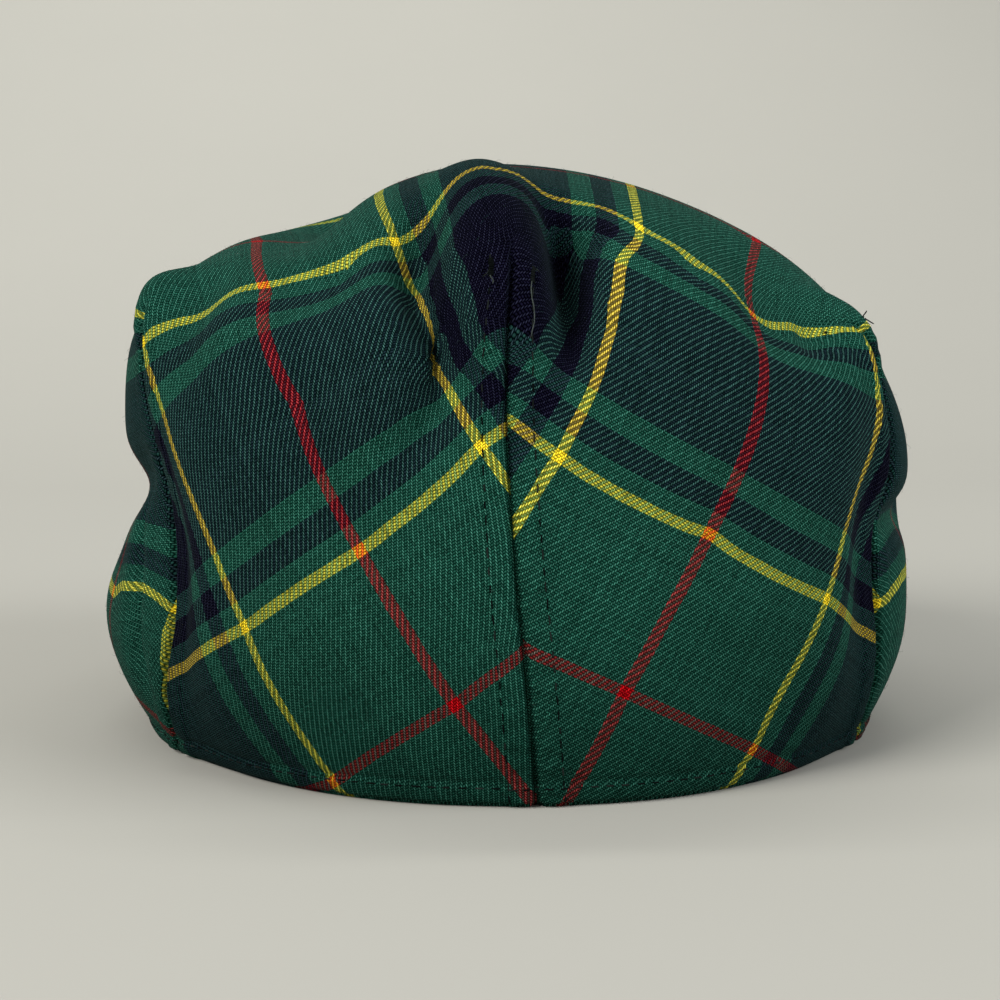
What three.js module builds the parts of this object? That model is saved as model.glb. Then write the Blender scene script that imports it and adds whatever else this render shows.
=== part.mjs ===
// Flat cap: one soft cloth crown shaped by three darts, and a stiff peak under its front edge.
// Millimetres, +Z up, peak toward +Y, the wearer's right toward +X.
import * as THREE from 'three';

// Driving dimensions
const clothThickness = 2.0;
const peakThickness = 3.5;
const seatGap = 0.3;
const dartAngle = 48;
const backColumns = 20;
const frontColumns = 28;
const crownRows = 26;
const foldSamples = 18;
const headLine = { halfWidth: 79, halfLength: 93 };
const peakEdge = { centre: 22, halfWidth: 84.5, reach: 128 };
const peakArch = { halfWidth: 60, atHead: 9, atFront: 5, headY: 93, frontY: 150 };
const rimRise = { from: 4, to: 18 };
const peakColumns = 46;
const peakRows = 7;

// Crown outlines from the rim (level 0) to the top (level 1)
const outlines = [
  { level: 0.00, left: 79, right: 80, back: 97, front: 126, square: 2.1,
    zBack: 0, zLeft: 0, zRight: 0, zFront: 0, shift: 0 },
  { level: 0.13, left: 88, right: 90, back: 101, front: 131, square: 2.1,
    zBack: 24, zLeft: 20, zRight: 20, zFront: 22, shift: -1 },
  { level: 0.26, left: 83, right: 90, back: 102, front: 128, square: 2.3,
    zBack: 48, zLeft: 43, zRight: 42, zFront: 38, shift: -2 },
  { level: 0.39, left: 81, right: 88, back: 100, front: 118, square: 2.7,
    zBack: 71, zLeft: 66, zRight: 65, zFront: 55, shift: -3 },
  { level: 0.53, left: 77, right: 77, back: 92, front: 100, square: 3.2,
    zBack: 92, zLeft: 88, zRight: 84, zFront: 77, shift: -3 },
  { level: 0.69, left: 60, right: 62, back: 70, front: 70, square: 2.5,
    zBack: 109, zLeft: 105, zRight: 104, zFront: 101, shift: -3 },
  { level: 0.85, left: 30, right: 32, back: 37, front: 36, square: 2.1,
    zBack: 121, zLeft: 117, zRight: 120, zFront: 118, shift: -4 },
  { level: 1.00, left: 0, right: 0, back: 0, front: 0, square: 2.0,
    zBack: 125, zLeft: 125, zRight: 125, zFront: 125, shift: -4 },
];

// Folds: three stations each (degrees from the back, level), half width and height out of the cloth
const folds = [
  { name: 'knob', angles: [-8, -4, -2], levels: [0.84, 0.68, 0.46], width: 11, heights: [0, 8, 1] },
  { name: 'knobRight', angles: [8, 6, 5], levels: [0.70, 0.60, 0.46], width: 6, heights: [-1, -9, -3] },
  { name: 'knobLeft', angles: [-14, -12, -9], levels: [0.72, 0.60, 0.46], width: 6, heights: [0, -7, -3] },
  { name: 'billowLeft', angles: [-17, -14, -17], levels: [0.58, 0.45, 0.34], width: 8, heights: [1, 3, 1] },
  { name: 'shoulderLeft', angles: [-95, -55, -24], levels: [0.84, 0.78, 0.58], width: 11,
    heights: [-6, -7, 0] },
  { name: 'pleatLeft', angles: [-42, -41, -38], levels: [0.60, 0.54, 0.42], width: 8,
    heights: [-2, -4, 0] },
  { name: 'cornerLeft', angles: [-56, -50, -46], levels: [0.60, 0.56, 0.50], width: 6, heights: [1, 5, 0] },
  { name: 'shelfLeft', angles: [-34, -26, -19], levels: [0.56, 0.57, 0.60], width: 11,
    heights: [-1, -5, -1] },
  { name: 'shoulderRight', angles: [40, 33, 28], levels: [0.66, 0.56, 0.44], width: 12,
    heights: [-3, -8, -1] },
  { name: 'cornerRight', angles: [44, 45, 47], levels: [0.60, 0.54, 0.48], width: 6, heights: [2, 4, 1] },
  { name: 'dartLeft', angles: [-48, -48, -48], levels: [0.44, 0.24, 0.05], width: 10,
    heights: [0, -5, -1] },
  { name: 'dartRight', angles: [46, 45, 50], levels: [0.44, 0.28, 0.05], width: 10, heights: [0, -4, -1] },
  { name: 'lowDent', angles: [12, 24, 34], levels: [0.20, 0.12, 0.08], width: 12, heights: [0, -3, 0] },
  { name: 'lobeNotch', angles: [-54, -73, -105], levels: [0.35, 0.32, 0.33], width: 7,
    heights: [-5, -5, -4] },
  { name: 'lobeLeft', angles: [-95, -82, -70], levels: [0.18, 0.19, 0.20], width: 10, heights: [1, 2, 1] },
];

const radians = (degrees) => degrees * Math.PI / 180;
const smooth = (x) => {
  const s = Math.min(1, Math.max(0, x));
  return s * s * (3 - 2 * s);
};

// Underside of the peak: it lies on the floor at the sides and arches up in the middle
function peakUnderside(x, y) {
  const along = (y - peakArch.headY) / (peakArch.frontY - peakArch.headY);
  const arch = peakArch.atHead + (peakArch.atFront - peakArch.atHead) * Math.max(-1, along);
  const across = Math.min(1, Math.abs(x) / peakArch.halfWidth);
  return arch * (1 - across * across) ** 2;
}

// Height of the crown's lower edge: flat on the floor behind, on top of the peak in front
function rimHeight(x, y) {
  const rise = smooth((y - rimRise.from) / (rimRise.to - rimRise.from));
  return rise * (peakUnderside(x, y) + peakThickness + seatGap);
}

// One point of an outline: a superellipse with its own size to the left, right, back and front
function outlinePoint(ring, angle) {
  const s = Math.sin(angle);
  const c = Math.cos(angle);
  const across = s > 0 ? ring.right : ring.left;
  const along = c > 0 ? ring.back : ring.front;
  const power = (Math.abs(s) / across) ** ring.square + (Math.abs(c) / along) ** ring.square;
  const radius = across > 0 ? power ** (-1 / ring.square) : 0;
  const side = s > 0 ? ring.zRight : ring.zLeft;
  const end = c > 0 ? ring.zBack : ring.zFront;
  return [radius * s + ring.shift, -radius * c, side * s * s + end * c * c];
}

// Smooth curve up the crown through the eight outlines at one angle (cubic Hermite pieces)
function basePoint(angle, level) {
  const points = outlines.map((ring) => outlinePoint(ring, angle));
  const last = outlines.length - 1;
  let k = 0;
  while (k < last - 1 && level >= outlines[k + 1].level) k += 1;
  const step = outlines[k + 1].level - outlines[k].level;
  const u = (level - outlines[k].level) / step;
  const slope = (j, axis) =>
    (points[j + 1][axis] - points[j][axis]) / (outlines[j + 1].level - outlines[j].level);
  const tangent = (j, axis) => {
    if (j === last) return axis === 2 ? 0 : slope(last - 1, axis);
    if (j === 0) return 1.5 * slope(0, axis) - 0.5 * tangent(1, axis);
    const before = outlines[j].level - outlines[j - 1].level;
    const after = outlines[j + 1].level - outlines[j].level;
    return (slope(j - 1, axis) * after + slope(j, axis) * before) / (before + after);
  };
  const h00 = 2 * u ** 3 - 3 * u ** 2 + 1;
  const h10 = u ** 3 - 2 * u ** 2 + u;
  const h01 = 3 * u ** 2 - 2 * u ** 3;
  const h11 = u ** 3 - u ** 2;
  const value = (axis) => h00 * points[k][axis] + h10 * step * tangent(k, axis)
    + h01 * points[k + 1][axis] + h11 * step * tangent(k + 1, axis);
  const point = new THREE.Vector3(value(0), value(1), value(2));
  const nearRim = Math.max(0, 1 - level / outlines[1].level);
  point.z += rimHeight(point.x, point.y) * nearRim * nearRim;
  return point;
}

function baseNormal(angle, level) {
  if (level > 0.999) return new THREE.Vector3(0, 0, 1);
  const d = 0.004;
  const around = basePoint(angle + d, level).sub(basePoint(angle - d, level));
  const low = Math.max(0, level - d);
  const high = Math.min(1, level + d);
  const up = basePoint(angle, high).sub(basePoint(angle, low));
  return around.cross(up).normalize();
}

// Sample each fold's line: quadratic through its three stations, weighted by the length it stands for
const foldPoints = folds.flatMap((fold) => {
  const mix = (q, s) => q[0] * (1 - s) * (1 - 2 * s) + q[1] * 4 * s * (1 - s) + q[2] * s * (2 * s - 1);
  const at = (s) => basePoint(radians(mix(fold.angles, s)), mix(fold.levels, s));
  return Array.from({ length: foldSamples }, (_, i) => {
    const s = (i + 0.5) / foldSamples;
    const reach = at(s + 0.5 / foldSamples).distanceTo(at(s - 0.5 / foldSamples));
    const weight = mix(fold.heights, s) * reach / (fold.width * Math.sqrt(Math.PI));
    return { centre: at(s), width: fold.width, weight };
  });
});

function foldHeight(point) {
  let height = 0;
  for (const f of foldPoints) {
    height += f.weight * Math.exp(-point.distanceToSquared(f.centre) / (f.width * f.width));
  }
  return height;
}

function outerPoint(angle, level) {
  const point = basePoint(angle, level);
  const height = foldHeight(point);
  point.addScaledVector(baseNormal(angle, level), height);
  if (level === 0) point.z = rimHeight(point.x, point.y);
  return point;
}

// Columns are close together between the side darts and wider toward the front
function columnAngles() {
  const half = [];
  for (let i = 0; i <= backColumns; i += 1) half.push(dartAngle * i / backColumns);
  const pitch = dartAngle / backColumns * frontColumns;
  for (let i = 1; i <= frontColumns; i += 1) {
    const q = i / frontColumns;
    half.push(dartAngle + pitch * q + (180 - dartAngle - pitch) * q * q);
  }
  const left = half.slice(1, -1).reverse().map((a) => -a);
  return [...left, ...half].map(radians);
}

// Closed mesh from points and triangles; points is a list of Vector3
function meshFrom(name, points, triangles, material) {
  const geometry = new THREE.BufferGeometry();
  geometry.setAttribute('position', new THREE.Float32BufferAttribute(points.flatMap((p) => p.toArray()), 3));
  geometry.setIndex(triangles.flat());
  geometry.computeVertexNormals();
  const mesh = new THREE.Mesh(geometry, material);
  mesh.name = name;
  return mesh;
}

function buildCrown(material) {
  const angles = columnAngles();
  const columns = angles.length;
  const outer = [];
  const inner = [];
  for (let row = 0; row < crownRows; row += 1) {
    const level = row / crownRows;
    outer.push(angles.map((angle) => outerPoint(angle, level)));
  }
  const top = outerPoint(0, 1);
  const at = (row, col) => (row >= crownRows ? top : outer[row][(col + columns) % columns]);
  for (let row = 0; row < crownRows; row += 1) {
    inner.push(angles.map((_, col) => {
      const around = at(row, col + 1).clone().sub(at(row, col - 1));
      const up = at(row + 1, col).clone().sub(at(Math.max(0, row - 1), col));
      const inward = around.cross(up).normalize().multiplyScalar(-clothThickness);
      if (row === 0) inward.setZ(0).setLength(clothThickness);
      const point = at(row, col).clone().add(inward);
      if (row === 0) point.z = rimHeight(point.x, point.y);
      return point;
    }));
  }
  const points = [...outer.flat(), ...inner.flat(), top, top.clone().setZ(top.z - clothThickness)];
  const half = columns * crownRows;
  const triangles = [];
  for (let row = 0; row < crownRows - 1; row += 1) {
    for (let col = 0; col < columns; col += 1) {
      const a = row * columns + col;
      const b = row * columns + (col + 1) % columns;
      const c = b + columns;
      const d = a + columns;
      triangles.push([a, b, c], [a, c, d]);
      triangles.push([half + a, half + c, half + b], [half + a, half + d, half + c]);
    }
  }
  const lastRow = (crownRows - 1) * columns;
  for (let col = 0; col < columns; col += 1) {
    const next = (col + 1) % columns;
    triangles.push([lastRow + col, lastRow + next, 2 * half]);
    triangles.push([half + lastRow + next, half + lastRow + col, 2 * half + 1]);
    triangles.push([next, col, half + col], [next, half + col, half + next]);
  }
  return meshFrom('crown', points, triangles, material);
}

// Crescent between the head line and the peak's outer edge, with a rounded outer edge
function buildPeak(material) {
  const innerStart = Math.asin(peakEdge.centre / headLine.halfLength);
  const rowsAcross = [];
  for (let col = 0; col <= peakColumns; col += 1) {
    const q = col / peakColumns * 2 - 1;
    const innerAngle = (Math.PI / 2 - innerStart) * q;
    const outerAngle = Math.PI / 2 * q;
    const inner = [headLine.halfWidth * Math.sin(innerAngle), headLine.halfLength * Math.cos(innerAngle)];
    const outer = [peakEdge.halfWidth * Math.sin(outerAngle),
      peakEdge.centre + peakEdge.reach * Math.cos(outerAngle)];
    rowsAcross.push({ inner, outer });
  }
  const loop = peakRows + 1;
  const points = [];
  for (const { inner, outer } of rowsAcross) {
    const width = Math.hypot(outer[0] - inner[0], outer[1] - inner[1]);
    const bevel = 1 / width;
    for (const side of [0, 1]) {
      for (let row = 0; row < loop; row += 1) {
        const k = side === 0 ? row : peakRows - row;
        const edge = k === 0 || k === peakRows ? 0 : bevel;
        const q = k === 0 ? 0 : k === peakRows ? 1 : edge + (k - 1) / (peakRows - 2) * (1 - 2 * edge);
        const x = inner[0] + (outer[0] - inner[0]) * q;
        const y = inner[1] + (outer[1] - inner[1]) * q;
        const inset = k === 0 || k === peakRows ? 1 : 0;
        const z = peakUnderside(x, y) + (side === 0 ? inset : peakThickness - inset);
        points.push(new THREE.Vector3(x, y, z));
      }
    }
  }
  const ring = 2 * loop;
  const triangles = [];
  for (let col = 0; col < peakColumns; col += 1) {
    for (let k = 0; k < ring; k += 1) {
      const a = col * ring + k;
      const b = col * ring + (k + 1) % ring;
      triangles.push([a, b + ring, a + ring], [a, b, b + ring]);
    }
  }
  const last = peakColumns * ring;
  for (let k = 0; k < peakRows; k += 1) {
    const m = ring - 1 - k;
    triangles.push([k, m - 1, k + 1], [k, m, m - 1]);
    triangles.push([last + k + 1, last + m, last + k], [last + k + 1, last + m - 1, last + m]);
  }
  return meshFrom('peak', points, triangles, material);
}

const cloth = { color: 0x1b4b40, roughness: 0.9, metalness: 0 };
const group = new THREE.Group();
group.name = 'flat_cap';
group.add(buildCrown(new THREE.MeshStandardMaterial(cloth)));
group.add(buildPeak(new THREE.MeshStandardMaterial({ ...cloth, color: 0x173f37 })));

// The origin is the middle of the bounding box, on the floor
const box = new THREE.Box3().setFromObject(group);
const centre = box.getCenter(new THREE.Vector3());
for (const mesh of group.children) mesh.geometry.translate(-centre.x, -centre.y, -box.min.z);

export default group;
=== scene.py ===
import bpy
import numpy as np
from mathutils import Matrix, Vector


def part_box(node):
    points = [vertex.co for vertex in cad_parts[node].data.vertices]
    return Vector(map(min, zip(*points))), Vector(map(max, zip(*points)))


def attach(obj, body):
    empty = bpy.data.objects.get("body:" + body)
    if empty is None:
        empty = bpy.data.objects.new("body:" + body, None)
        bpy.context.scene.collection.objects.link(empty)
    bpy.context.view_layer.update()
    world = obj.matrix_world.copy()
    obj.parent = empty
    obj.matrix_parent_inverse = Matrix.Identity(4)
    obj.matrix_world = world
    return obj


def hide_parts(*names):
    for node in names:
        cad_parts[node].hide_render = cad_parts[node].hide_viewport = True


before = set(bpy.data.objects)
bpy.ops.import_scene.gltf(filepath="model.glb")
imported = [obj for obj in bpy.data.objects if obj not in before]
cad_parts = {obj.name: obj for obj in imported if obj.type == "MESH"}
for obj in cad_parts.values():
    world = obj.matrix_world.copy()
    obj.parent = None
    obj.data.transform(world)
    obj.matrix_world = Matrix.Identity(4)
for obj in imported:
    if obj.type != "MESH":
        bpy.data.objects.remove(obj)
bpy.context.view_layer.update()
mm = 0.001  # the shape is worked out in millimetres and put into the meshes in metres
clothUnit = 100  # millimetres of cloth for one unit of the cloth map
smooth = lambda x: np.clip(x, 0, 1) ** 2 * (3 - 2 * np.clip(x, 0, 1))
bump = lambda distance, width: np.exp(-(distance / width) ** 2)  # a soft hill, 1 in the middle
print("frame loaded")

# crown shape
crown = {
    "thickness": 2.0,
    "dartAngle": 48,      # degrees from the back seam to a side dart, before the seams bend the columns
    "backColumns": 104,   # from the back seam to one side dart
    "frontColumns": 96,   # from a side dart to the middle of the front
    "hemRows": 24,        # rows in the turned-up edge
    "rows": 164,
    "innerRows": 60,
    "hemLevel": 0.07,     # level that the hem's rows end at
    "gather": 0.6,        # how much closer the columns are beside the seams
    "rimRadius": 1.0,     # of the rolled lower edge
    "rollRings": 6,       # rings of points round the rolled edge
    "backDartLevel": 0.60,  # where each dart ends
    "sideDartLevel": 0.555,
}
peak = {
    "thickness": 3.5,
    "gap": 0.3,           # between its top and the crown's edge
    "centre": 22,         # middle of the outer edge's ellipse, in front of the middle of the head
    "halfWidth": 84.5,
    "reach": 128,
    "innerHalfWidth": 79,  # the head line, an ellipse round the middle of the head
    "innerHalfLength": 93,
    "archHalfWidth": 60,
    "archAtHead": 9,      # height of the arched underside at headY, and at frontY
    "archAtFront": 5,
    "headY": 93,
    "frontY": 150,
    "riseFrom": 4,        # the crown's edge rises onto the peak between these
    "riseTo": 18,
    "columns": 180,
    "across": 26,
    "turns": 5,           # rows in each quarter round the edge
}

# outlines of the crown from its edge (level 0) to its top (level 1), in millimetres
outlineNames = ["level", "left", "right", "back", "front", "square",
                "zBack", "zLeft", "zRight", "zFront", "shift"]
outlines = np.array([
    [0.00, 79, 80,  97, 126, 2.1,   0,   0,   0,   0,  0],
    [0.13, 88, 90, 101, 131, 2.1,  24,  20,  20,  22, -1],
    [0.26, 83, 90, 102, 128, 2.3,  48,  43,  42,  38, -2],
    [0.39, 81, 88, 100, 118, 2.7,  71,  66,  65,  55, -3],
    [0.53, 77, 77,  92, 100, 3.2,  92,  88,  84,  77, -3],
    [0.69, 60, 62,  70,  70, 2.5, 109, 105, 104, 101, -3],
    [0.85, 30, 32,  37,  36, 2.1, 121, 117, 120, 118, -4],
    [1.00,  0,  0,   0,   0, 2.0, 125, 125, 125, 125, -4]], float)

# angles of the left, back and right seams at each level, in degrees from the back
seamLines = np.array([
    [0.00, -57,  0.0, 57],
    [0.08, -53, -0.5, 54],
    [0.16, -50, -1.0, 51],
    [0.24, -50, -1.5, 49],
    [0.34, -49, -1.7, 50],
    [0.42, -49, -1.7, 49],
    [0.50, -48, -1.5, 45],
    [0.56, -48, -1.0, 42],
    [0.66, -48, -0.5, 42],
    [1.00, -48,  0.0, 46]], float)

foldSamples = 18  # soft hills along each fold's line

# folds: three stations each (degrees from the back, level), half width and height in millimetres
folds = {
    "knob":          ([-8, -4, -2],     [0.84, 0.68, 0.46], 11, [0, 9, 1]),
    "knobRight":     ([9, 7.2, 5],      [0.735, 0.64, 0.46], 4.5, [-3, -14, -4]),
    "knobLeft":      ([-14, -12.5, -9], [0.72, 0.60, 0.46],  5, [0, -9, -3]),
    "creaseLeft":    ([-9.5, -9, -13],  [0.52, 0.43, 0.34],  4, [-2, -5, -1]),
    "billowLeft":    ([-17, -14, -17],  [0.58, 0.45, 0.34],  8, [1, 3, 1]),
    "shoulderLeft":  ([-95, -55, -24],  [0.84, 0.78, 0.58], 11, [-6, -7, 0]),
    "pleatLeft":     ([-42, -41, -38],  [0.60, 0.54, 0.42],  8, [-2, -4, 0]),
    "cornerLeft":    ([-56, -50, -46],  [0.60, 0.56, 0.50],  6, [1, 5, 0]),
    "shelfLeft":     ([-34, -26, -19],  [0.56, 0.57, 0.60], 11, [-1, -5, -1]),
    "shoulderRight": ([40, 33, 28],     [0.66, 0.56, 0.44], 12, [-3, -8, -1]),
    "cornerRight":   ([44, 45, 47],     [0.60, 0.54, 0.48],  6, [2, 4, 1]),
    "nookRight":     ([44, 40, 36],     [0.585, 0.545, 0.49], 4, [-1, -4, -1]),
    "dartLeft":      ([-48, -48, -48],  [0.44, 0.24, 0.05], 10, [0, -5, -1]),
    "dartRight":     ([46, 45, 50],     [0.44, 0.28, 0.05], 10, [0, -4, -1]),
    "lowDent":       ([12, 24, 34],     [0.20, 0.12, 0.08], 12, [0, -3, 0]),
    "lobeNotch":     ([-54, -73, -105], [0.35, 0.32, 0.33],  7, [-5, -5, -4]),
    "lobeLeft":      ([-95, -82, -70],  [0.18, 0.19, 0.20], 10, [1, 2, 1]),
    "lobeCrease":    ([-60, -60, -58],  [0.32, 0.20, 0.08],  4, [-1, -5, -1]),
    "notchRight":    ([50, 58, 74],     [0.29, 0.29, 0.30],  5, [-3, -4, -2]),
}


def peakUnderside(x, y):
    # lies on the floor at the sides and arches up in the middle
    along = np.maximum(-1, (y - peak["headY"]) / (peak["frontY"] - peak["headY"]))
    arch = peak["archAtHead"] + (peak["archAtFront"] - peak["archAtHead"]) * along
    return arch * (1 - np.minimum(1, np.abs(x) / peak["archHalfWidth"]) ** 2) ** 2


def rimHeight(x, y):
    # flat on the floor behind, up on the peak's top in front
    rise = smooth((y - peak["riseFrom"]) / (peak["riseTo"] - peak["riseFrom"]))
    return rise * (peakUnderside(x, y) + peak["thickness"] + peak["gap"])


def through(knots, values, tangents, at):
    # cubic Hermite curve through one row of values at each knot; values may hold one curve per point of at
    k = np.clip(np.searchsorted(knots, at, side="right") - 1, 0, len(knots) - 2)
    step = np.diff(knots)[k]
    u = (at - knots[k]) / step
    pick = lambda table, j: np.take_along_axis(table, j[None, None], axis=0)[0]
    return ((2 * u**3 - 3 * u**2 + 1) * pick(values, k) + (u**3 - 2 * u**2 + u) * step * pick(tangents, k)
            + (3 * u**2 - 2 * u**3) * pick(values, k + 1) + (u**3 - u**2) * step * pick(tangents, k + 1))


def tangentsOf(knots, values):
    # mean slope of the steps on either side of each knot, weighted by the other step's length
    steps = np.diff(knots).reshape(-1, *[1] * (values.ndim - 1))
    slopes = np.diff(values, axis=0) / steps
    tangents = np.empty_like(values)
    tangents[1:-1] = (slopes[:-1] * steps[1:] + slopes[1:] * steps[:-1]) / (steps[1:] + steps[:-1])
    tangents[0] = 1.5 * slopes[0] - 0.5 * tangents[1]
    tangents[-1] = slopes[-1]
    return tangents


def crownBase(angle, level):
    # a superellipse at each outline, joined upwards by cubic Hermite curves; arrays of angle and level
    level, angle = np.broadcast_arrays(np.asarray(level, float), np.asarray(angle, float))
    s, c = np.sin(angle), np.cos(angle)
    points = []
    for row in outlines:
        ring = dict(zip(outlineNames, row))
        across = np.where(s > 0, ring["right"], ring["left"])
        along = np.where(c > 0, ring["back"], ring["front"])
        if ring["left"] > 0:
            power = (np.abs(s) / across) ** ring["square"] + (np.abs(c) / along) ** ring["square"]
            radius = power ** (-1 / ring["square"])
        else:
            radius = 0 * s
        side = np.where(s > 0, ring["zRight"], ring["zLeft"])
        end = np.where(c > 0, ring["zBack"], ring["zFront"])
        points.append(np.stack([radius * s + ring["shift"], -radius * c, side * s * s + end * c * c]))
    points = np.array(points)
    knots = outlines[:, 0]
    tangents = tangentsOf(knots, points)
    tangents[-1, 2] = 0
    result = through(knots, points, tangents, level)
    nearRim = np.maximum(0, 1 - level / knots[1]) ** 2
    result[2] = result[2] + rimHeight(result[0], result[1]) * nearRim
    return np.moveaxis(result, 0, -1)


def gridNormals(grid):
    # cross product of the central differences round and up; the top points straight up
    around = np.empty_like(grid)
    around[:, 1:-1] = grid[:, 2:] - grid[:, :-2]
    around[:, 0] = around[:, -1] = grid[:, 1] - grid[:, -2]
    up = np.empty_like(grid)
    up[1:-1] = grid[2:] - grid[:-2]
    up[0], up[-1] = grid[1] - grid[0], grid[-1] - grid[-2]
    normal = np.cross(around, up)
    normal /= np.maximum(np.linalg.norm(normal, axis=-1, keepdims=True), 1e-9)
    normal[-1] = (0, 0, 1)
    return normal


def foldHeight(points, table):
    # a soft hill carried along each fold's line, a quadratic through its three stations
    height = np.zeros(points.shape[:-1])
    for angles, levels, width, heights in table.values():
        mix = lambda q, s: q[0] * (1 - s) * (1 - 2 * s) + q[1] * 4 * s * (1 - s) + q[2] * s * (2 * s - 1)
        at = lambda s: crownBase(np.radians(mix(angles, s)), mix(levels, s))
        middle = (np.arange(foldSamples) + 0.5) / foldSamples
        reach = np.linalg.norm(at(middle + 0.5 / foldSamples) - at(middle - 0.5 / foldSamples), axis=-1)
        weight = mix(heights, middle) * reach / (width * np.sqrt(np.pi))
        for centre, w in zip(at(middle), weight):
            height += w * np.exp(-((points - centre) ** 2).sum(-1) / width**2)
    return height


def columnAngles(back, front, gather=0.0):
    # steps between the side darts, gathered toward the seams, then wider and wider toward the front
    dart = crown["dartAngle"]
    share = np.arange(back + 1) / back
    share = share - gather * np.sin(2 * np.pi * share) / (2 * np.pi)
    q = np.arange(1, front + 1) / front
    pitch = dart * (share[-1] - share[-2]) * front
    half = np.concatenate([dart * share, dart + pitch * q + (180 - dart - pitch) * q * q])
    return np.radians(np.concatenate([-half[:0:-1], half]))


def seamAngles(angles, levels):
    # columns follow the three seams, each seam's angle a smooth curve up the crown
    table = seamLines[:, 1:].T[:, :, None] * np.ones((1, 1, len(levels)))
    knots = seamLines[:, 0]
    left, back, right = (through(knots, t[:, None], tangentsOf(knots, t[:, None]), levels)[0]
                         for t in table)
    dart = crown["dartAngle"]
    rows = [np.interp(np.degrees(angles), [-180, -dart, 0, dart, 180], [-180, a, b, c, 180])
            for a, b, c in zip(left, back, right)]
    return np.radians(rows)


def foldedCrown(angles, levels):
    base = crownBase(seamAngles(angles, levels), levels[:, None])
    return base + foldHeight(base, folds)[..., None] * gridNormals(base)


# cloth pattern
# lines of the tartan, in millimetres across the cloth from the middle of its navy band, and along it
sett = {"navyEdge": 14.5, "yellow": 28.9, "red": 60.5, "weftStart": 3.6}
navy, yellow, red = sett["navyEdge"], sett["yellow"], sett["red"]
outerYellow, lobeYellow = 2 * red - yellow, 2 * red + yellow
highNavy, highYellow, highRed = (sett["weftStart"] + line for line in (navy, yellow, red))
lowNavy, lowYellow, lowRed = (sett["weftStart"] - line for line in (navy, yellow, red))

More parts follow.
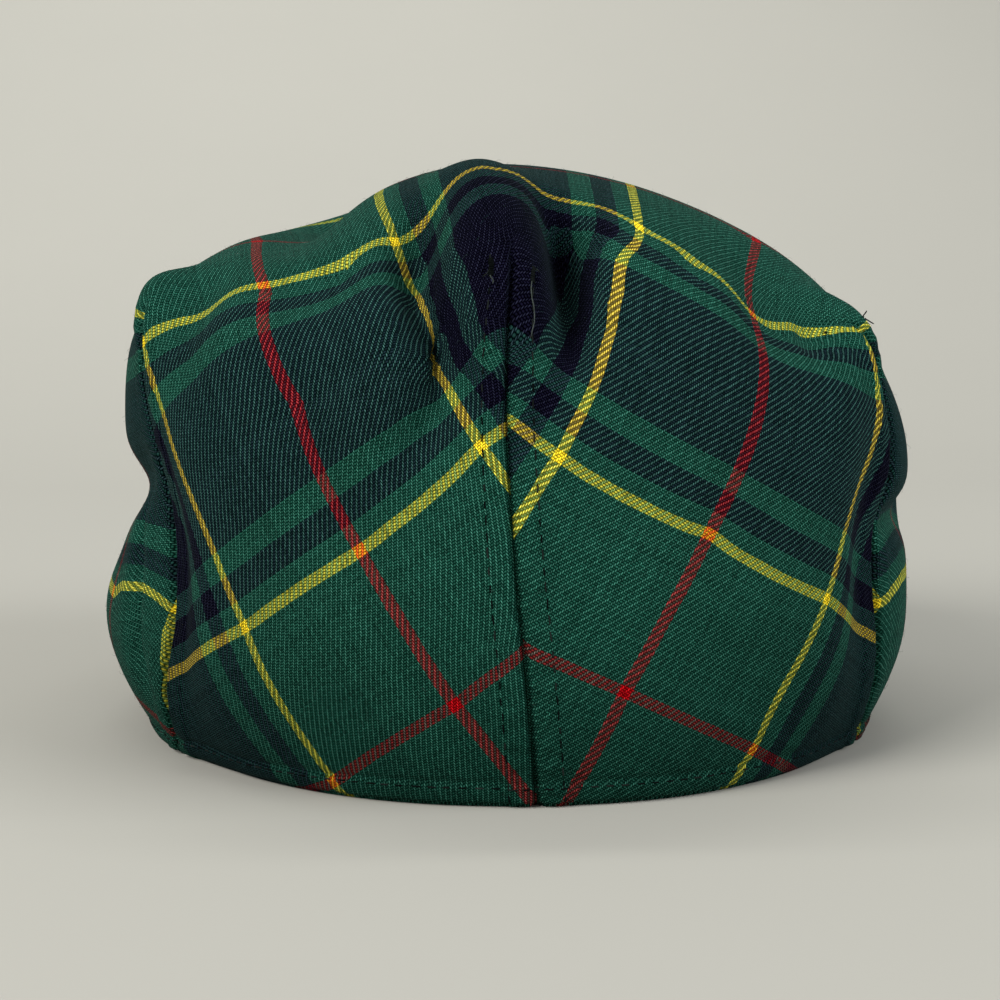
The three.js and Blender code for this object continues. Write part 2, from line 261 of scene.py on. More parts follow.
# where known points of the cloth lie on the crown: degrees from the back, level, millimetres across
# and along the cloth, and how hard the point is held
clothGuides = [
    # left half of the back
    ( -3.0, 0.370, -yellow, lowYellow, 8),
    (-15.5, 0.263, -red, lowYellow, 8),
    (-30.2, 0.183, -outerYellow, lowYellow, 8),
    ( -7.2, 0.110, -red, lowRed, 8),
    (-20.7, 0.017, -outerYellow, lowRed, 8),
    (-31.6, 0.590, -red, highYellow, 8),
    (-22.0, 0.603, -43.0, highYellow, 8),
    (-16.4, 0.650, -yellow, highYellow, 8),
    (-46.8, 0.497, -outerYellow, highYellow, 8),
    (-38.5, 0.535, -74.0, highYellow, 3),
    (-31.6, 0.805, -yellow, highRed, 3),
    (-57.5, 0.715, -red, 64.5, 4),
    # the tuck left of the knob and the fold beside it
    ( -9.2, 0.542, -26.4, 6.5, 6),
    ( -8.1, 0.483, -31.4, -2.0, 6),
    ( -7.9, 0.455, -30.6, -6.0, 3),
    (-21.0, 0.420, -red, 2.0, 3),
    # close to the back seam
    ( -0.3, 0.385, -22.5, lowYellow, 3),
    ( -0.3, 0.326, -yellow, -33.5, 5),
    (  0.3, 0.283, 29.9, -39.5, 5),
    ( -0.3, 0.165, -43.3, lowRed, 3),
    # right half of the back
    (  4.8, 0.357, yellow, lowYellow, 8),
    ( 19.2, 0.283, red, lowYellow, 8),
    ( 34.4, 0.210, outerYellow, lowYellow, 8),
    (  9.0, 0.123, red, lowRed, 8),
    ( 24.2, 0.043, outerYellow, lowRed, 8),
    # the high yellow line, round the knob and into the valley right of it
    (  2.9, 0.752, 3.4, highYellow, 5),
    (  6.4, 0.744, 7.4, highYellow, 5),
    (  8.6, 0.740, 9.7, highYellow, 6),
    ( 17.1, 0.738, 18.5, highYellow, 3),
    ( 22.2, 0.704, 27.0, highYellow, 2),
    ( 21.9, 0.670, yellow, highYellow, 8),
    # the yellow line down the right of the knob
    ( 19.2, 0.631, yellow, 25.0, 4),
    ( 15.1, 0.565, yellow, 13.5, 4),
    ( 12.5, 0.512, yellow, 5.0, 4),
    (  9.7, 0.459, yellow, -5.5, 3),
    # the high yellow line over the right shoulder
    ( 27.0, 0.600, 44.0, highYellow, 8),
    ( 36.2, 0.570, red, highYellow, 8),
    ( 38.9, 0.538, 69.0, highYellow, 6),
    ( 44.2, 0.558, 74.9, highYellow, 6),
    ( 47.3, 0.565, 79.5, 32.9, 5),
    # the outer yellow line, from the right corner down
    ( 47.5, 0.520, outerYellow, 33.5, 8),
    ( 46.3, 0.472, outerYellow, 24.5, 5),
    ( 45.6, 0.405, outerYellow, 14.5, 8),
    ( 43.2, 0.346, outerYellow, 3.9, 8),
    ( 37.2, 0.293, outerYellow, -8.5, 4),
    # above the right shoulder
    ( 52.3, 0.684, red, highRed, 8),
    ( 46.1, 0.744, 43.5, 60.5, 3),
    # close to the back seam, on its right
    (  0.7, 0.395, 19.1, lowYellow, 3),
    (  0.3, 0.165, 41.1, lowRed, 3),
    # the navy of the knob and the valley right of it
    (  0.0, 0.600, 0.0, 0.0, 8),
    ( -2.2, 0.708, 0.0, highYellow, 8),
    ( -8.1, 0.618, -navy, highNavy, 4),
    ( -3.2, 0.492, -navy, lowNavy, 6),
    ( -0.3, 0.492, -9.0, lowNavy, 4),
    (  3.5, 0.479, navy, lowNavy, 6),
    (  0.7, 0.472, 9.8, lowNavy, 4),
    ( 10.2, 0.718, 12.2, 19.5, 8),
    ( 10.8, 0.731, 12.0, 25.5, 6),
    ( 12.5, 0.698, navy, highNavy, 12),
    ( 17.1, 0.671, 21.6, 25.2, 10),
    # left lobe, along its dart
    (-48.5, 0.480, -104.0, 35.0, 8),
    (-48.5, 0.360, -126.0, 36.5, 8),
    (-48.5, 0.250, -140.0, 36.0, 10),
    (-48.5, 0.190, -lobeYellow, 33.6, 12),
    (-48.5, 0.120, -166.0, 33.6, 12),
    (-48.5, 0.060, -177.0, 33.6, 12),
    (-48.5, 0.010, -185.0, 33.4, 12),
    # left lobe, farther round
    (-70.0, 0.172, -lobeYellow, 62.0, 8),
    (-61.0, 0.202, -lobeYellow, 48.0, 4),
    (-69.0, 0.090, -180.5, 61.0, 8),
    (-52.0, 0.130, -172.0, 37.0, 5),
    (-60.0, 0.110, -176.0, 49.0, 4),
    # right lobe
    ( 48.5, 0.480, 104.0, 35.0, 8),
    ( 48.5, 0.360, 126.0, 35.0, 8),
    ( 48.5, 0.190, lobeYellow, 31.5, 8),
    ( 48.5, 0.020, 180.0, 29.0, 8),
    ( 63.0, 0.250, lobeYellow, 66.0, 3),
    ( 56.0, 0.235, lobeYellow, 50.0, 2)]
pattern = {
    "backColumns": 20,    # of the coarse crown that is laid flat
    "frontColumns": 22,
    "rows": 36,
    "rounds": 60,
    "topAlong": 78,       # along the cloth, where the top is before the first round
    "stiffest": 5,
    "smallest": 1e-6,     # triangles of less than half this area are left out
}


def cutCorners(rows, columns, levels):
    # a number for each corner of the cloth, once as the cell on its left sees it and once as the cell on
    # its right does: up an open dart the two differ, so that the cloth parts there
    middle, side = columns // 2, pattern["backColumns"]
    corner = np.zeros((2, rows + 1, columns + 1), int)
    corner[:, :, :columns] = np.arange((rows + 1) * columns).reshape(rows + 1, columns)
    corner[:, :, columns] = corner[:, :, 0]
    corner[:, rows, :] = corner[0, rows, 0]
    count = (rows + 1) * columns
    darts = [(middle, crown["backDartLevel"]), (middle - side, crown["sideDartLevel"]),
             (middle + side, crown["sideDartLevel"])]
    for column, top in darts:
        openRow = int(np.argmin(np.abs(levels - top)))
        corner[1, :openRow, column] = np.arange(count, count + openRow)
        count += openRow
    used, corner = np.unique(corner, return_inverse=True)
    return corner.reshape(2, rows + 1, columns + 1), len(used)


def cellTriangles(grid, corner):
    # corner numbers and two sides of the small triangles, each cell cut both ways
    rows, columns = grid.shape[0] - 1, grid.shape[1] - 1
    i, j = (a.ravel() for a in np.meshgrid(np.arange(rows), np.arange(columns), indexing="ij"))
    number = np.stack([corner[1, i, j], corner[0, i, j + 1], corner[0, i + 1, j + 1], corner[1, i + 1, j]], 1)
    place = np.stack([grid[i, j], grid[i, j + 1], grid[i + 1, j + 1], grid[i + 1, j]], 1)
    split = np.array([[0, 1, 2], [0, 2, 3], [0, 1, 3], [1, 2, 3]])
    triangle, solid = number[:, split].reshape(-1, 3), place[:, split].reshape(-1, 3, 3)
    first, second = solid[:, 1] - solid[:, 0], solid[:, 2] - solid[:, 0]
    whole = np.linalg.norm(np.cross(first, second), axis=1) > pattern["smallest"]
    return triangle[whole], first[whole], second[whole]


def layEachFlat(first, second):
    # every triangle laid flat by itself, its first side along the first axis
    length = np.linalg.norm(first, axis=1)
    normal = np.cross(first, second)
    normal /= np.linalg.norm(normal, axis=1, keepdims=True)
    flat = np.zeros((len(first), 3, 2))
    flat[:, 1, 0] = length
    flat[:, 2, 0] = (second * first).sum(1) / length
    flat[:, 2, 1] = (second * np.cross(normal, first)).sum(1) / length
    return flat


def sideStiffness(flat):
    # half the cotangent of each corner's angle, which holds the side across from that corner
    stiffness = np.zeros((len(flat), 3))
    for k in range(3):
        a, b = flat[:, (k + 1) % 3] - flat[:, k], flat[:, (k + 2) % 3] - flat[:, k]
        cotangent = (a * b).sum(1) / np.abs(a[:, 0] * b[:, 1] - a[:, 1] * b[:, 0])
        stiffness[:, k] = 0.5 * np.clip(cotangent, -pattern["stiffest"], pattern["stiffest"])
    return stiffness


def clothSystem(triangle, stiffness, corner, count, angles):
    # least squares of all the sides and the guides: the matrix, and the guides' part of the right side
    rows, columns = corner.shape[1] - 1, corner.shape[2] - 1
    system, fixed = np.zeros((count, count)), np.zeros((count, 2))
    for k in range(3):
        a, b, w = triangle[:, (k + 1) % 3], triangle[:, (k + 2) % 3], stiffness[:, k]
        np.add.at(system, (a, a), w)
        np.add.at(system, (b, b), w)
        np.add.at(system, (a, b), -w)
        np.add.at(system, (b, a), -w)
    for angle, level, across, along, hold in clothGuides:
        column = np.interp(np.radians(angle), angles, np.arange(columns + 1))
        row = level * rows
        i, j = int(row), int(min(column, columns - 1))
        up, on = row - i, column - j
        corners = [corner[1, i, j], corner[0, i, j + 1], corner[1, i + 1, j], corner[0, i + 1, j + 1]]
        share = np.array([(1 - up) * (1 - on), (1 - up) * on, up * (1 - on), up * on])
        system[np.ix_(corners, corners)] += hold * np.outer(share, share)
        fixed[corners] += hold * share[:, None] * [across, along]
    return system, fixed


def pullOfSides(cloth, triangle, flat, stiffness):
    # each flat triangle turned to where it fits the cloth best, and how its sides then pull at its corners
    now = cloth[triangle]
    spin = np.zeros((len(triangle), 2, 2))
    for k in range(3):
        a, b = (k + 1) % 3, (k + 2) % 3
        turned = np.einsum("ma,mb->mab", flat[:, a] - flat[:, b], now[:, a] - now[:, b])
        spin += stiffness[:, k, None, None] * turned
    cosine, sine = spin[:, 0, 0] + spin[:, 1, 1], spin[:, 0, 1] - spin[:, 1, 0]
    size = np.hypot(cosine, sine) + 1e-12
    cosine, sine = cosine / size, sine / size
    turned = np.stack([np.stack([cosine, -sine], -1), np.stack([sine, cosine], -1)], 1)
    pull = np.zeros_like(cloth)
    for k in range(3):
        a, b = (k + 1) % 3, (k + 2) % 3
        side = stiffness[:, k, None] * np.einsum("mab,mb->ma", turned, flat[:, a] - flat[:, b])
        np.add.at(pull, triangle[:, a], side)
        np.add.at(pull, triangle[:, b], -side)
    return pull


def flattenCrown(grid, angles, levels):
    # lays the crown out flat, cut along its three darts, keeping each small triangle as rigid as it can
    corner, count = cutCorners(grid.shape[0] - 1, grid.shape[1] - 1, levels)
    triangle, first, second = cellTriangles(grid, corner)
    flat = layEachFlat(first, second)
    stiffness = sideStiffness(flat)
    system, fixed = clothSystem(triangle, stiffness, corner, count, angles)
    inverse = np.linalg.inv(system)
    climb = np.zeros(grid.shape[:2])  # distance from the top, measured down the cloth
    climb[:-1] = np.cumsum(np.linalg.norm(np.diff(grid, axis=0), axis=-1)[::-1], axis=0)[::-1]
    start = np.stack([climb * np.sin(angles), pattern["topAlong"] - climb * np.cos(angles)], -1)
    cloth = np.zeros((count, 2))
    for seenFrom in (0, 1):
        cloth[corner[seenFrom]] = start
    for turn in range(pattern["rounds"]):
        cloth = inverse @ (fixed + pullOfSides(cloth, triangle, flat, stiffness))
    corners = cloth[triangle]
    a, b = corners[:, 1] - corners[:, 0], corners[:, 2] - corners[:, 0]
    area = np.abs(a[:, 0] * b[:, 1] - a[:, 1] * b[:, 0]).sum() / 4  # each cell was cut both ways
    return cloth, corner, area


def clothOnGrid(cloth, corner, coarseAngles, angles, levels):
    # cloth coordinates at the four corners of each fine cell, bilinear inside its coarse cell
    rows, columns = corner.shape[1] - 1, corner.shape[2] - 1
    column = np.interp(angles, coarseAngles, np.arange(columns + 1))
    row = levels * rows
    jCell = np.clip(((column[1:] + column[:-1]) / 2).astype(int), 0, columns - 1)
    iCell = np.clip(((row[1:] + row[:-1]) / 2).astype(int), 0, rows - 1)
    i, j = iCell[:, None], jCell[None, :]
    lowLeft, lowRight = cloth[corner[1][i, j]], cloth[corner[0][i, j + 1]]
    highLeft, highRight = cloth[corner[1][i + 1, j]], cloth[corner[0][i + 1, j + 1]]
    found = []
    for di, dj in ((0, 0), (0, 1), (1, 1), (1, 0)):
        v = (row[di:len(row) - 1 + di] - iCell)[:, None, None]
        u = (column[dj:len(column) - 1 + dj] - jCell)[None, :, None]
        found.append((lowLeft * (1 - u) + lowRight * u) * (1 - v) + (highLeft * (1 - u) + highRight * u) * v)
    return np.stack(found, 2)  # rows, columns, corner, (across, along)


coarseAngles = columnAngles(pattern["backColumns"], pattern["frontColumns"])
coarseLevels = np.linspace(0, 1, pattern["rows"] + 1)
coarseCrown = foldedCrown(coarseAngles, coarseLevels)
cloth, clothCorner, clothArea = flattenCrown(coarseCrown, coarseAngles, coarseLevels)

# crown surface
seams = {
    "allowance": 6.2,        # cloth turned back on each side of a seam, inside
    "allowanceEdge": 0.8,    # over which the thicker wall there ends
    "insideRaise": 0.9,      # how much thicker it is
    "groove": 2.1,
    "grooveWidth": 0.75,
    "raise": 0.6,            # the pressed allowance lifts the cloth over it
    "raisePast": 1.4,        # and runs on this far past the stitching
    "raiseEdge": 1.6,
    "stitchDent": 0.5,
    "tackDent": 0.8,
    "dentWidth": 0.7,
    "tackLevel": 0.553,
    "tackSpan": 0.013,
    "pucker": 0.2,
    "puckerLength": 4.6,
    "puckerFrom": 3.2,       # from the seam to the middle of its ripples
    "puckerWidth": 2.6,
    "puckerDrift": 2.2,      # how far the ripples' spacing wanders, and over what length
    "driftLength": 7.3,
    "backEnd": 0.06,         # levels over which a seam runs out at its top
    "sideEnd": 0.05,
    "sideHeight": 0.8,       # a side dart's relief and ripples, against those of the back seam
    "sidePucker": 0.6,
    "hemWidth": 5.0,
    "hemRaise": 0.5,
    "hemDent": 0.5,
    "rollIn": 4.0,           # the lower edge turns in toward the head at the back
    "rollWidth": 30.0,
    "rollBehind": 30.0,      # from this far behind the middle of the head
    "rollGrows": 40.0,       # in full this much farther back
}
tuck = {
    "angles": [-8.2, -8.7, -10.8],
    "levels": [0.45, 0.53, 0.595],
    "hidden": 5.0,           # width of the strip of cloth that the tuck hides
    "width": 0.3,
    "fade": 9,
    "lip": 1.1,
    "lipBack": 4.0,          # how softly the lip falls off behind its edge
    "dent": 0.9,             # groove under the lip, as a share of it
}
stitchLevels, stitchDistances = [0, 0.2, 0.45, 0.58], [6.3, 6.1, 5.6, 4.8]  # distance from the seam
stitchLine = lambda level: np.interp(level, stitchLevels, stitchDistances)
angles = columnAngles(crown["backColumns"], crown["frontColumns"], crown["gather"])
levels = np.concatenate([np.linspace(0, crown["hemLevel"], crown["hemRows"], endpoint=False),
                         np.linspace(crown["hemLevel"], 1, crown["rows"] + 1 - crown["hemRows"])])
middleColumn = len(angles) // 2
dartColumns = {-1: middleColumn - crown["backColumns"], 1: middleColumn + crown["backColumns"]}


def distanceRound(grid, column):
    # signed distance along each row from one column
    step = np.linalg.norm(np.diff(grid, axis=1), axis=-1)
    total = np.concatenate([np.zeros((len(grid), 1)), np.cumsum(step, axis=1)], axis=1)
    return total - total[:, column:column + 1]


def distanceUp(grid):
    # distance up each column from the lower edge
    step = np.linalg.norm(np.diff(grid, axis=0), axis=-1)
    return np.concatenate([np.zeros((1, grid.shape[1])), np.cumsum(step, axis=0)], axis=0)


def seamHeight(distance, level, reach):
    # pressed seam: a raised band over the allowance, a groove at the join, dents under the stitching
    fromStitches = np.abs(distance) - stitchLine(level)
    band = smooth((seams["raisePast"] - fromStitches) / seams["raiseEdge"]) * seams["raise"]
    groove = -seams["groove"] * bump(distance, seams["grooveWidth"])
    stitchDent = -seams["stitchDent"] * bump(fromStitches, seams["dentWidth"])
    return (band + groove + stitchDent) * reach


def puckerHeight(distance, up, reach):
    # short ripples across the seam allowance, their length wandering a little up the seam
    drift = seams["puckerDrift"] * np.sin(up / seams["driftLength"])
    wave = np.sin(2 * np.pi * up / seams["puckerLength"] + drift + 0.5 * np.sign(distance))
    near = bump(np.abs(distance) - seams["puckerFrom"], seams["puckerWidth"])
    return seams["pucker"] * wave * near * reach


def allowanceInside(distance, reach):
    # 1 where a seam's allowance lies against the wall
    return smooth((seams["allowance"] + 1 - np.abs(distance)) / seams["allowanceEdge"]) * reach


def tuckAway(surface):
    # signed distance from the edge of the short tuck left of the top, and how much of it there is
    line = np.interp(levels, tuck["levels"], tuck["angles"])
    fromSeam = distanceRound(surface, middleColumn)
    edge = np.array([np.interp(np.radians(line[i]), angles, fromSeam[i]) for i in range(len(levels))])
    middle, half = np.mean(tuck["levels"]), np.ptp(tuck["levels"]) / 2
    return fromSeam - edge[:, None], smooth((half * 1.25 - np.abs(levels - middle)) / (half * 0.5))[:, None]


def seamRelief(surface, up):
    # height that the three seams add, and where their allowances lie inside
    level = levels[:, None]
    distance = distanceRound(surface, middleColumn)
    reach = smooth((crown["backDartLevel"] - level) / seams["backEnd"])
    height = seamHeight(distance, level, reach) + puckerHeight(distance, up, reach)
    atStitches = bump(np.abs(distance) - stitchLine(level), seams["dentWidth"])
    height -= seams["tackDent"] * atStitches * bump(level - seams["tackLevel"], seams["tackSpan"])
    inside = allowanceInside(distance, reach)
    for side in (-1, 1):
        distance = distanceRound(surface, dartColumns[side])
        reach = smooth((crown["sideDartLevel"] - level) / seams["sideEnd"])
        height += seams["sideHeight"] * seamHeight(distance, level, reach)
        height += seams["sidePucker"] * puckerHeight(distance, up, reach)
        inside += allowanceInside(distance, reach)
    return height, inside


def hemRelief(up):
    # the turned-up edge is thicker, with a crease where it ends
    hem = smooth((seams["hemWidth"] + 0.5 - up) / 1.2) * seams["hemRaise"]
    hem -= seams["hemDent"] * bump(up - seams["hemWidth"], seams["dentWidth"])
    inside = smooth((seams["hemWidth"] + 1.5 - up) / 0.8) * smooth((up - 1) / 1.5)
    return hem * smooth(up / 2), inside


def tuckRelief(surface):
    # a lip along the tuck's edge, with a groove under it
    away, share = tuckAway(surface)
    lip = smooth((0.1 - away) / 0.5) * np.exp(np.minimum(away, 0) / tuck["lipBack"])
    return tuck["lip"] * (lip - tuck["dent"] * bump(away - 0.5, seams["dentWidth"])) * share


def finishedCrown():
    # the outer wall with all its relief, and the thickness of the wall
    surface = foldedCrown(angles, levels)
    up = distanceUp(surface)
    seamRaise, seamInside = seamRelief(surface, up)
    hemRaise, hemInside = hemRelief(up)
    normal = gridNormals(surface)
    finished = surface + (seamRaise + hemRaise + tuckRelief(surface))[..., None] * normal
    rollIn = np.maximum(0, 1 - up / seams["rollWidth"]) ** 2 * seams["rollIn"]
    atBack = smooth((-seams["rollBehind"] - finished[..., 1:2]) / seams["rollGrows"])
    finished[..., :2] -= (rollIn[..., None] * normal)[..., :2] * atBack
    finished[-1] = finished[-1].mean(0)
    finished[0, :, 2] = rimHeight(finished[0, :, 0], finished[0, :, 1])
    finished[:, -1] = finished[:, 0]
    return finished, crown["thickness"] + seams["insideRaise"] * np.maximum(seamInside, hemInside)


outer, wall = finishedCrown()
outerNormal = gridNormals(outer)
inward = -outerNormal * wall[..., None]
inward[0, :, 2] = 0
inward[0] *= crown["thickness"] / np.linalg.norm(inward[0], axis=-1, keepdims=True)
inner = outer + inward
inner[0, :, 2] = rimHeight(inner[0, :, 0], inner[0, :, 1])
crownCloth = clothOnGrid(cloth, clothCorner, coarseAngles, angles, levels)
tuckGap, tuckShare = tuckAway(outer)
tuckShift = tuck["hidden"] / 2 * np.tanh(tuckGap / tuck["width"])
tuckShift = tuckShift * np.exp(-np.abs(tuckGap) / tuck["fade"]) * tuckShare
lowShift, highShift = tuckShift[:-1], tuckShift[1:]
crownCloth[..., 0] += np.stack([lowShift[:, :-1], lowShift[:, 1:], highShift[:, 1:], highShift[:, :-1]], -1)
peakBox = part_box("peak")
peakFront = peakBox[1].y / mm
# from the shape's own origin, the middle of the head on the floor, to the row's
toRow = np.array([(peakBox[0].x + peakBox[1].x) / 2 / mm, peakFront - peak["centre"] - peak["reach"], 0])
print("crown surface worked out")


def meshObject(name, points, faces, materials, faceMaterial, uv):
    # points in millimetres in the shape's own frame, moved to the row's frame and into metres; uv holds
    # one place on the cloth map for each face corner
    mesh = bpy.data.meshes.new(name)
    mesh.from_pydata(((points + toRow) * mm).tolist(), [], faces)
    for material in materials:
        mesh.materials.append(material)
    if faceMaterial is not None:
        mesh.polygons.foreach_set("material_index", faceMaterial)
    layer = mesh.uv_layers.new(name="cloth")
    layer.data.foreach_set("uv", np.asarray(uv, np.float32).ravel())
    mesh.polygons.foreach_set("use_smooth", [True] * len(mesh.polygons))
    mesh.update()
    obj = bpy.data.objects.new(name, mesh)
    bpy.context.scene.collection.objects.link(obj)
    return obj


# materials
tartan = {
    "warpPitch": 0.31,     # one thread, millimetres
    "weftPitch": 0.44,
    "halfRepeat": sett["red"],  # from the middle of the navy to the middle of the red
    "weftStart": sett["weftStart"],
    "bands": [("navy", 14.5), ("green", 19.4), ("navy", 23.9), ("green", 27.85),
              ("yellow", 29.95), ("green", 59.25), ("red", sett["red"])],  # each band's far edge
    "weftLength": 1.05,    # half length and half width of a weft float, of one thread's pitch
    "weftWidth": 0.95,
    "weftRise": 0.66,
    "warpFall": 0.92,      # how far a warp float falls off to its sides, and to its ends
    "floatFall": 0.85,
    "warpUnder": 0.15,     # height of the warp where it runs under the weft
    "blendWarp": 0.34,     # how much of the crossing thread's colour shows in each thread
    "blendWeft": 0.32,
    "hollow": 0.02,        # painted shade: light left in the hollows, more of it between pale threads
    "hollowPale": 0.20,
    "hollowGain": 14.5,
    "ridge": 2.15,         # painted light that the ridges add, and how narrow they look
    "ridgePower": 1.8,
    "variation": 1.1,      # how much lighter or darker one yarn is than the next
    "topPower": 3.5,
    "topGain": 40.0,
    "topRed": 9.0,         # how fast the painted highlight on the tops fades on red
    "highlightTint": (0.054, 0.090, 0.081),  # painted highlight added on the tops of the ridges
    "navy": (0.0036, 0.0025, 0.0121),
    "green": (0.0039, 0.0572, 0.0363),
    "yellow": (0.88, 0.64, 0.024),
    "red": (0.37, 0.003, 0.006),
}
wool = {
    "wobbleScale": 220.0,  # noise scales, for one metre
    "fibreScale": 2600.0,
    "cloudScale": 30.0,
    "wander": 0.3,         # millimetres that the threads wander
    "relief": 0.7,
    "reliefDepth": 0.00022,
    "fibreRelief": 0.35,
    "roughness": 0.95,
    "crestSmooth": 0.25,   # how much less rough the tops of the threads are
    "shine": 0.08,
    "paintedSheen": (0.14, 0.23, 0.20),   # painted sheen of fibres that stand off the cloth
    "paintedSheenAmount": 0.06,
    "paintedSheenPower": 5.0,
    "sheen": 0.003,
    "sheenRoughness": 0.35,
    "sheenTint": (0.55, 0.80, 0.72),
    "hemShadeHeight": 0.045,   # metres above the lower edge over which the painted shade fades out
}


class NodeMaker:
    # short calls to add and join shader nodes in one tree
    def __init__(self, tree):
        self.tree = tree

    def add(self, kind, inputs=None, **settings):
        node = self.tree.nodes.new(kind)
        for key, value in settings.items():
            setattr(node, key, value)
        for key, value in (inputs or {}).items():
            self.put(node.inputs[key], value)
        return node

    def put(self, socket, value):
        if isinstance(value, bpy.types.NodeSocket):
            self.tree.links.new(value, socket)
        else:
            socket.default_value = value

    def math(self, operation, *values, clamp=False):
        node = self.add("ShaderNodeMath", operation=operation, use_clamp=clamp)
        for k, value in enumerate(values):
            self.put(node.inputs[k], value)
        return node.outputs[0]

    def mix(self, share, a, b, blend="MIX"):
        node = self.add("ShaderNodeMix", data_type="RGBA", blend_type=blend)
        self.put(node.inputs[0], share)
        self.put(node.inputs[6], a)
        self.put(node.inputs[7], b)
        return node.outputs[2]

    def eyeMix(self, share, a, b):
        # mixes two colours in even steps of brightness, so the dark one weighs more
        evenStep, back = 0.4545, 2.2
        raised = [self.add("ShaderNodeGamma", {"Color": c, "Gamma": evenStep}).outputs[0] for c in (a, b)]
        return self.add("ShaderNodeGamma", {"Color": self.mix(share, *raised), "Gamma": back}).outputs[0]

    def blendValue(self, share, a, b):
        node = self.add("ShaderNodeMix", data_type="FLOAT")
        self.put(node.inputs[0], share)
        self.put(node.inputs[2], a)
        self.put(node.inputs[3], b)
        return node.outputs[0]


def newGroup(name, inputs, outputs):
    group = bpy.data.node_groups.new(name, "ShaderNodeTree")
    for label, kind, value in inputs:
        socket = group.interface.new_socket(name=label, in_out="INPUT", socket_type=kind)
        if value is not None:
            socket.default_value = value
    for label, kind in outputs:
        group.interface.new_socket(name=label, in_out="OUTPUT", socket_type=kind)
    maker = NodeMaker(group)
    return group, maker, maker.add("NodeGroupInput"), maker.add("NodeGroupOutput")


def stripeRamp(maker, distance):
    # colour of a thread from its distance to the middle of the navy band
    node = maker.add("ShaderNodeValToRGB", {"Fac": maker.math("DIVIDE", distance, tartan["halfRepeat"])})
    ramp = node.color_ramp
    ramp.interpolation = "CONSTANT"
    start = 0.0
    for k, (colour, end) in enumerate(tartan["bands"]):
        stop = ramp.elements[0] if k == 0 else ramp.elements.new(start / tartan["halfRepeat"])
        stop.position = start / tartan["halfRepeat"]
        stop.color = (*tartan[colour], 1)
        start = end
    if len(ramp.elements) > len(tartan["bands"]):
        ramp.elements.remove(ramp.elements[-1])  # the stop that every new ramp has at its end
    return node.outputs["Color"]


def yarnShade(m, warpShows, warpNumber, weftNumber, phase, variation):
    # each yarn a little lighter or darker than the next, and each float of a yarn too
    warpYarn = m.add("ShaderNodeTexWhiteNoise", {"W": warpNumber}, noise_dimensions="1D").outputs["Value"]
    weftYarn = m.add("ShaderNodeTexWhiteNoise", {"W": m.math("ADD", weftNumber, 0.37)},
                     noise_dimensions="1D").outputs["Value"]
    yarn = m.blendValue(warpShows, weftYarn, warpYarn)
    floatPlace = m.add("ShaderNodeCombineXYZ", {"X": warpNumber, "Y": m.math("SUBTRACT", weftNumber, phase)})
    floatNoise = m.add("ShaderNodeTexWhiteNoise", {"Vector": floatPlace.outputs[0]}, noise_dimensions="2D")
    floatTone = floatNoise.outputs["Value"]
    both = m.math("ADD", m.math("MULTIPLY", yarn, 0.5), m.math("MULTIPLY", floatTone, 0.5))
    return m.math("ADD", 1.0, m.math("MULTIPLY", m.math("SUBTRACT", both, 0.5), variation))


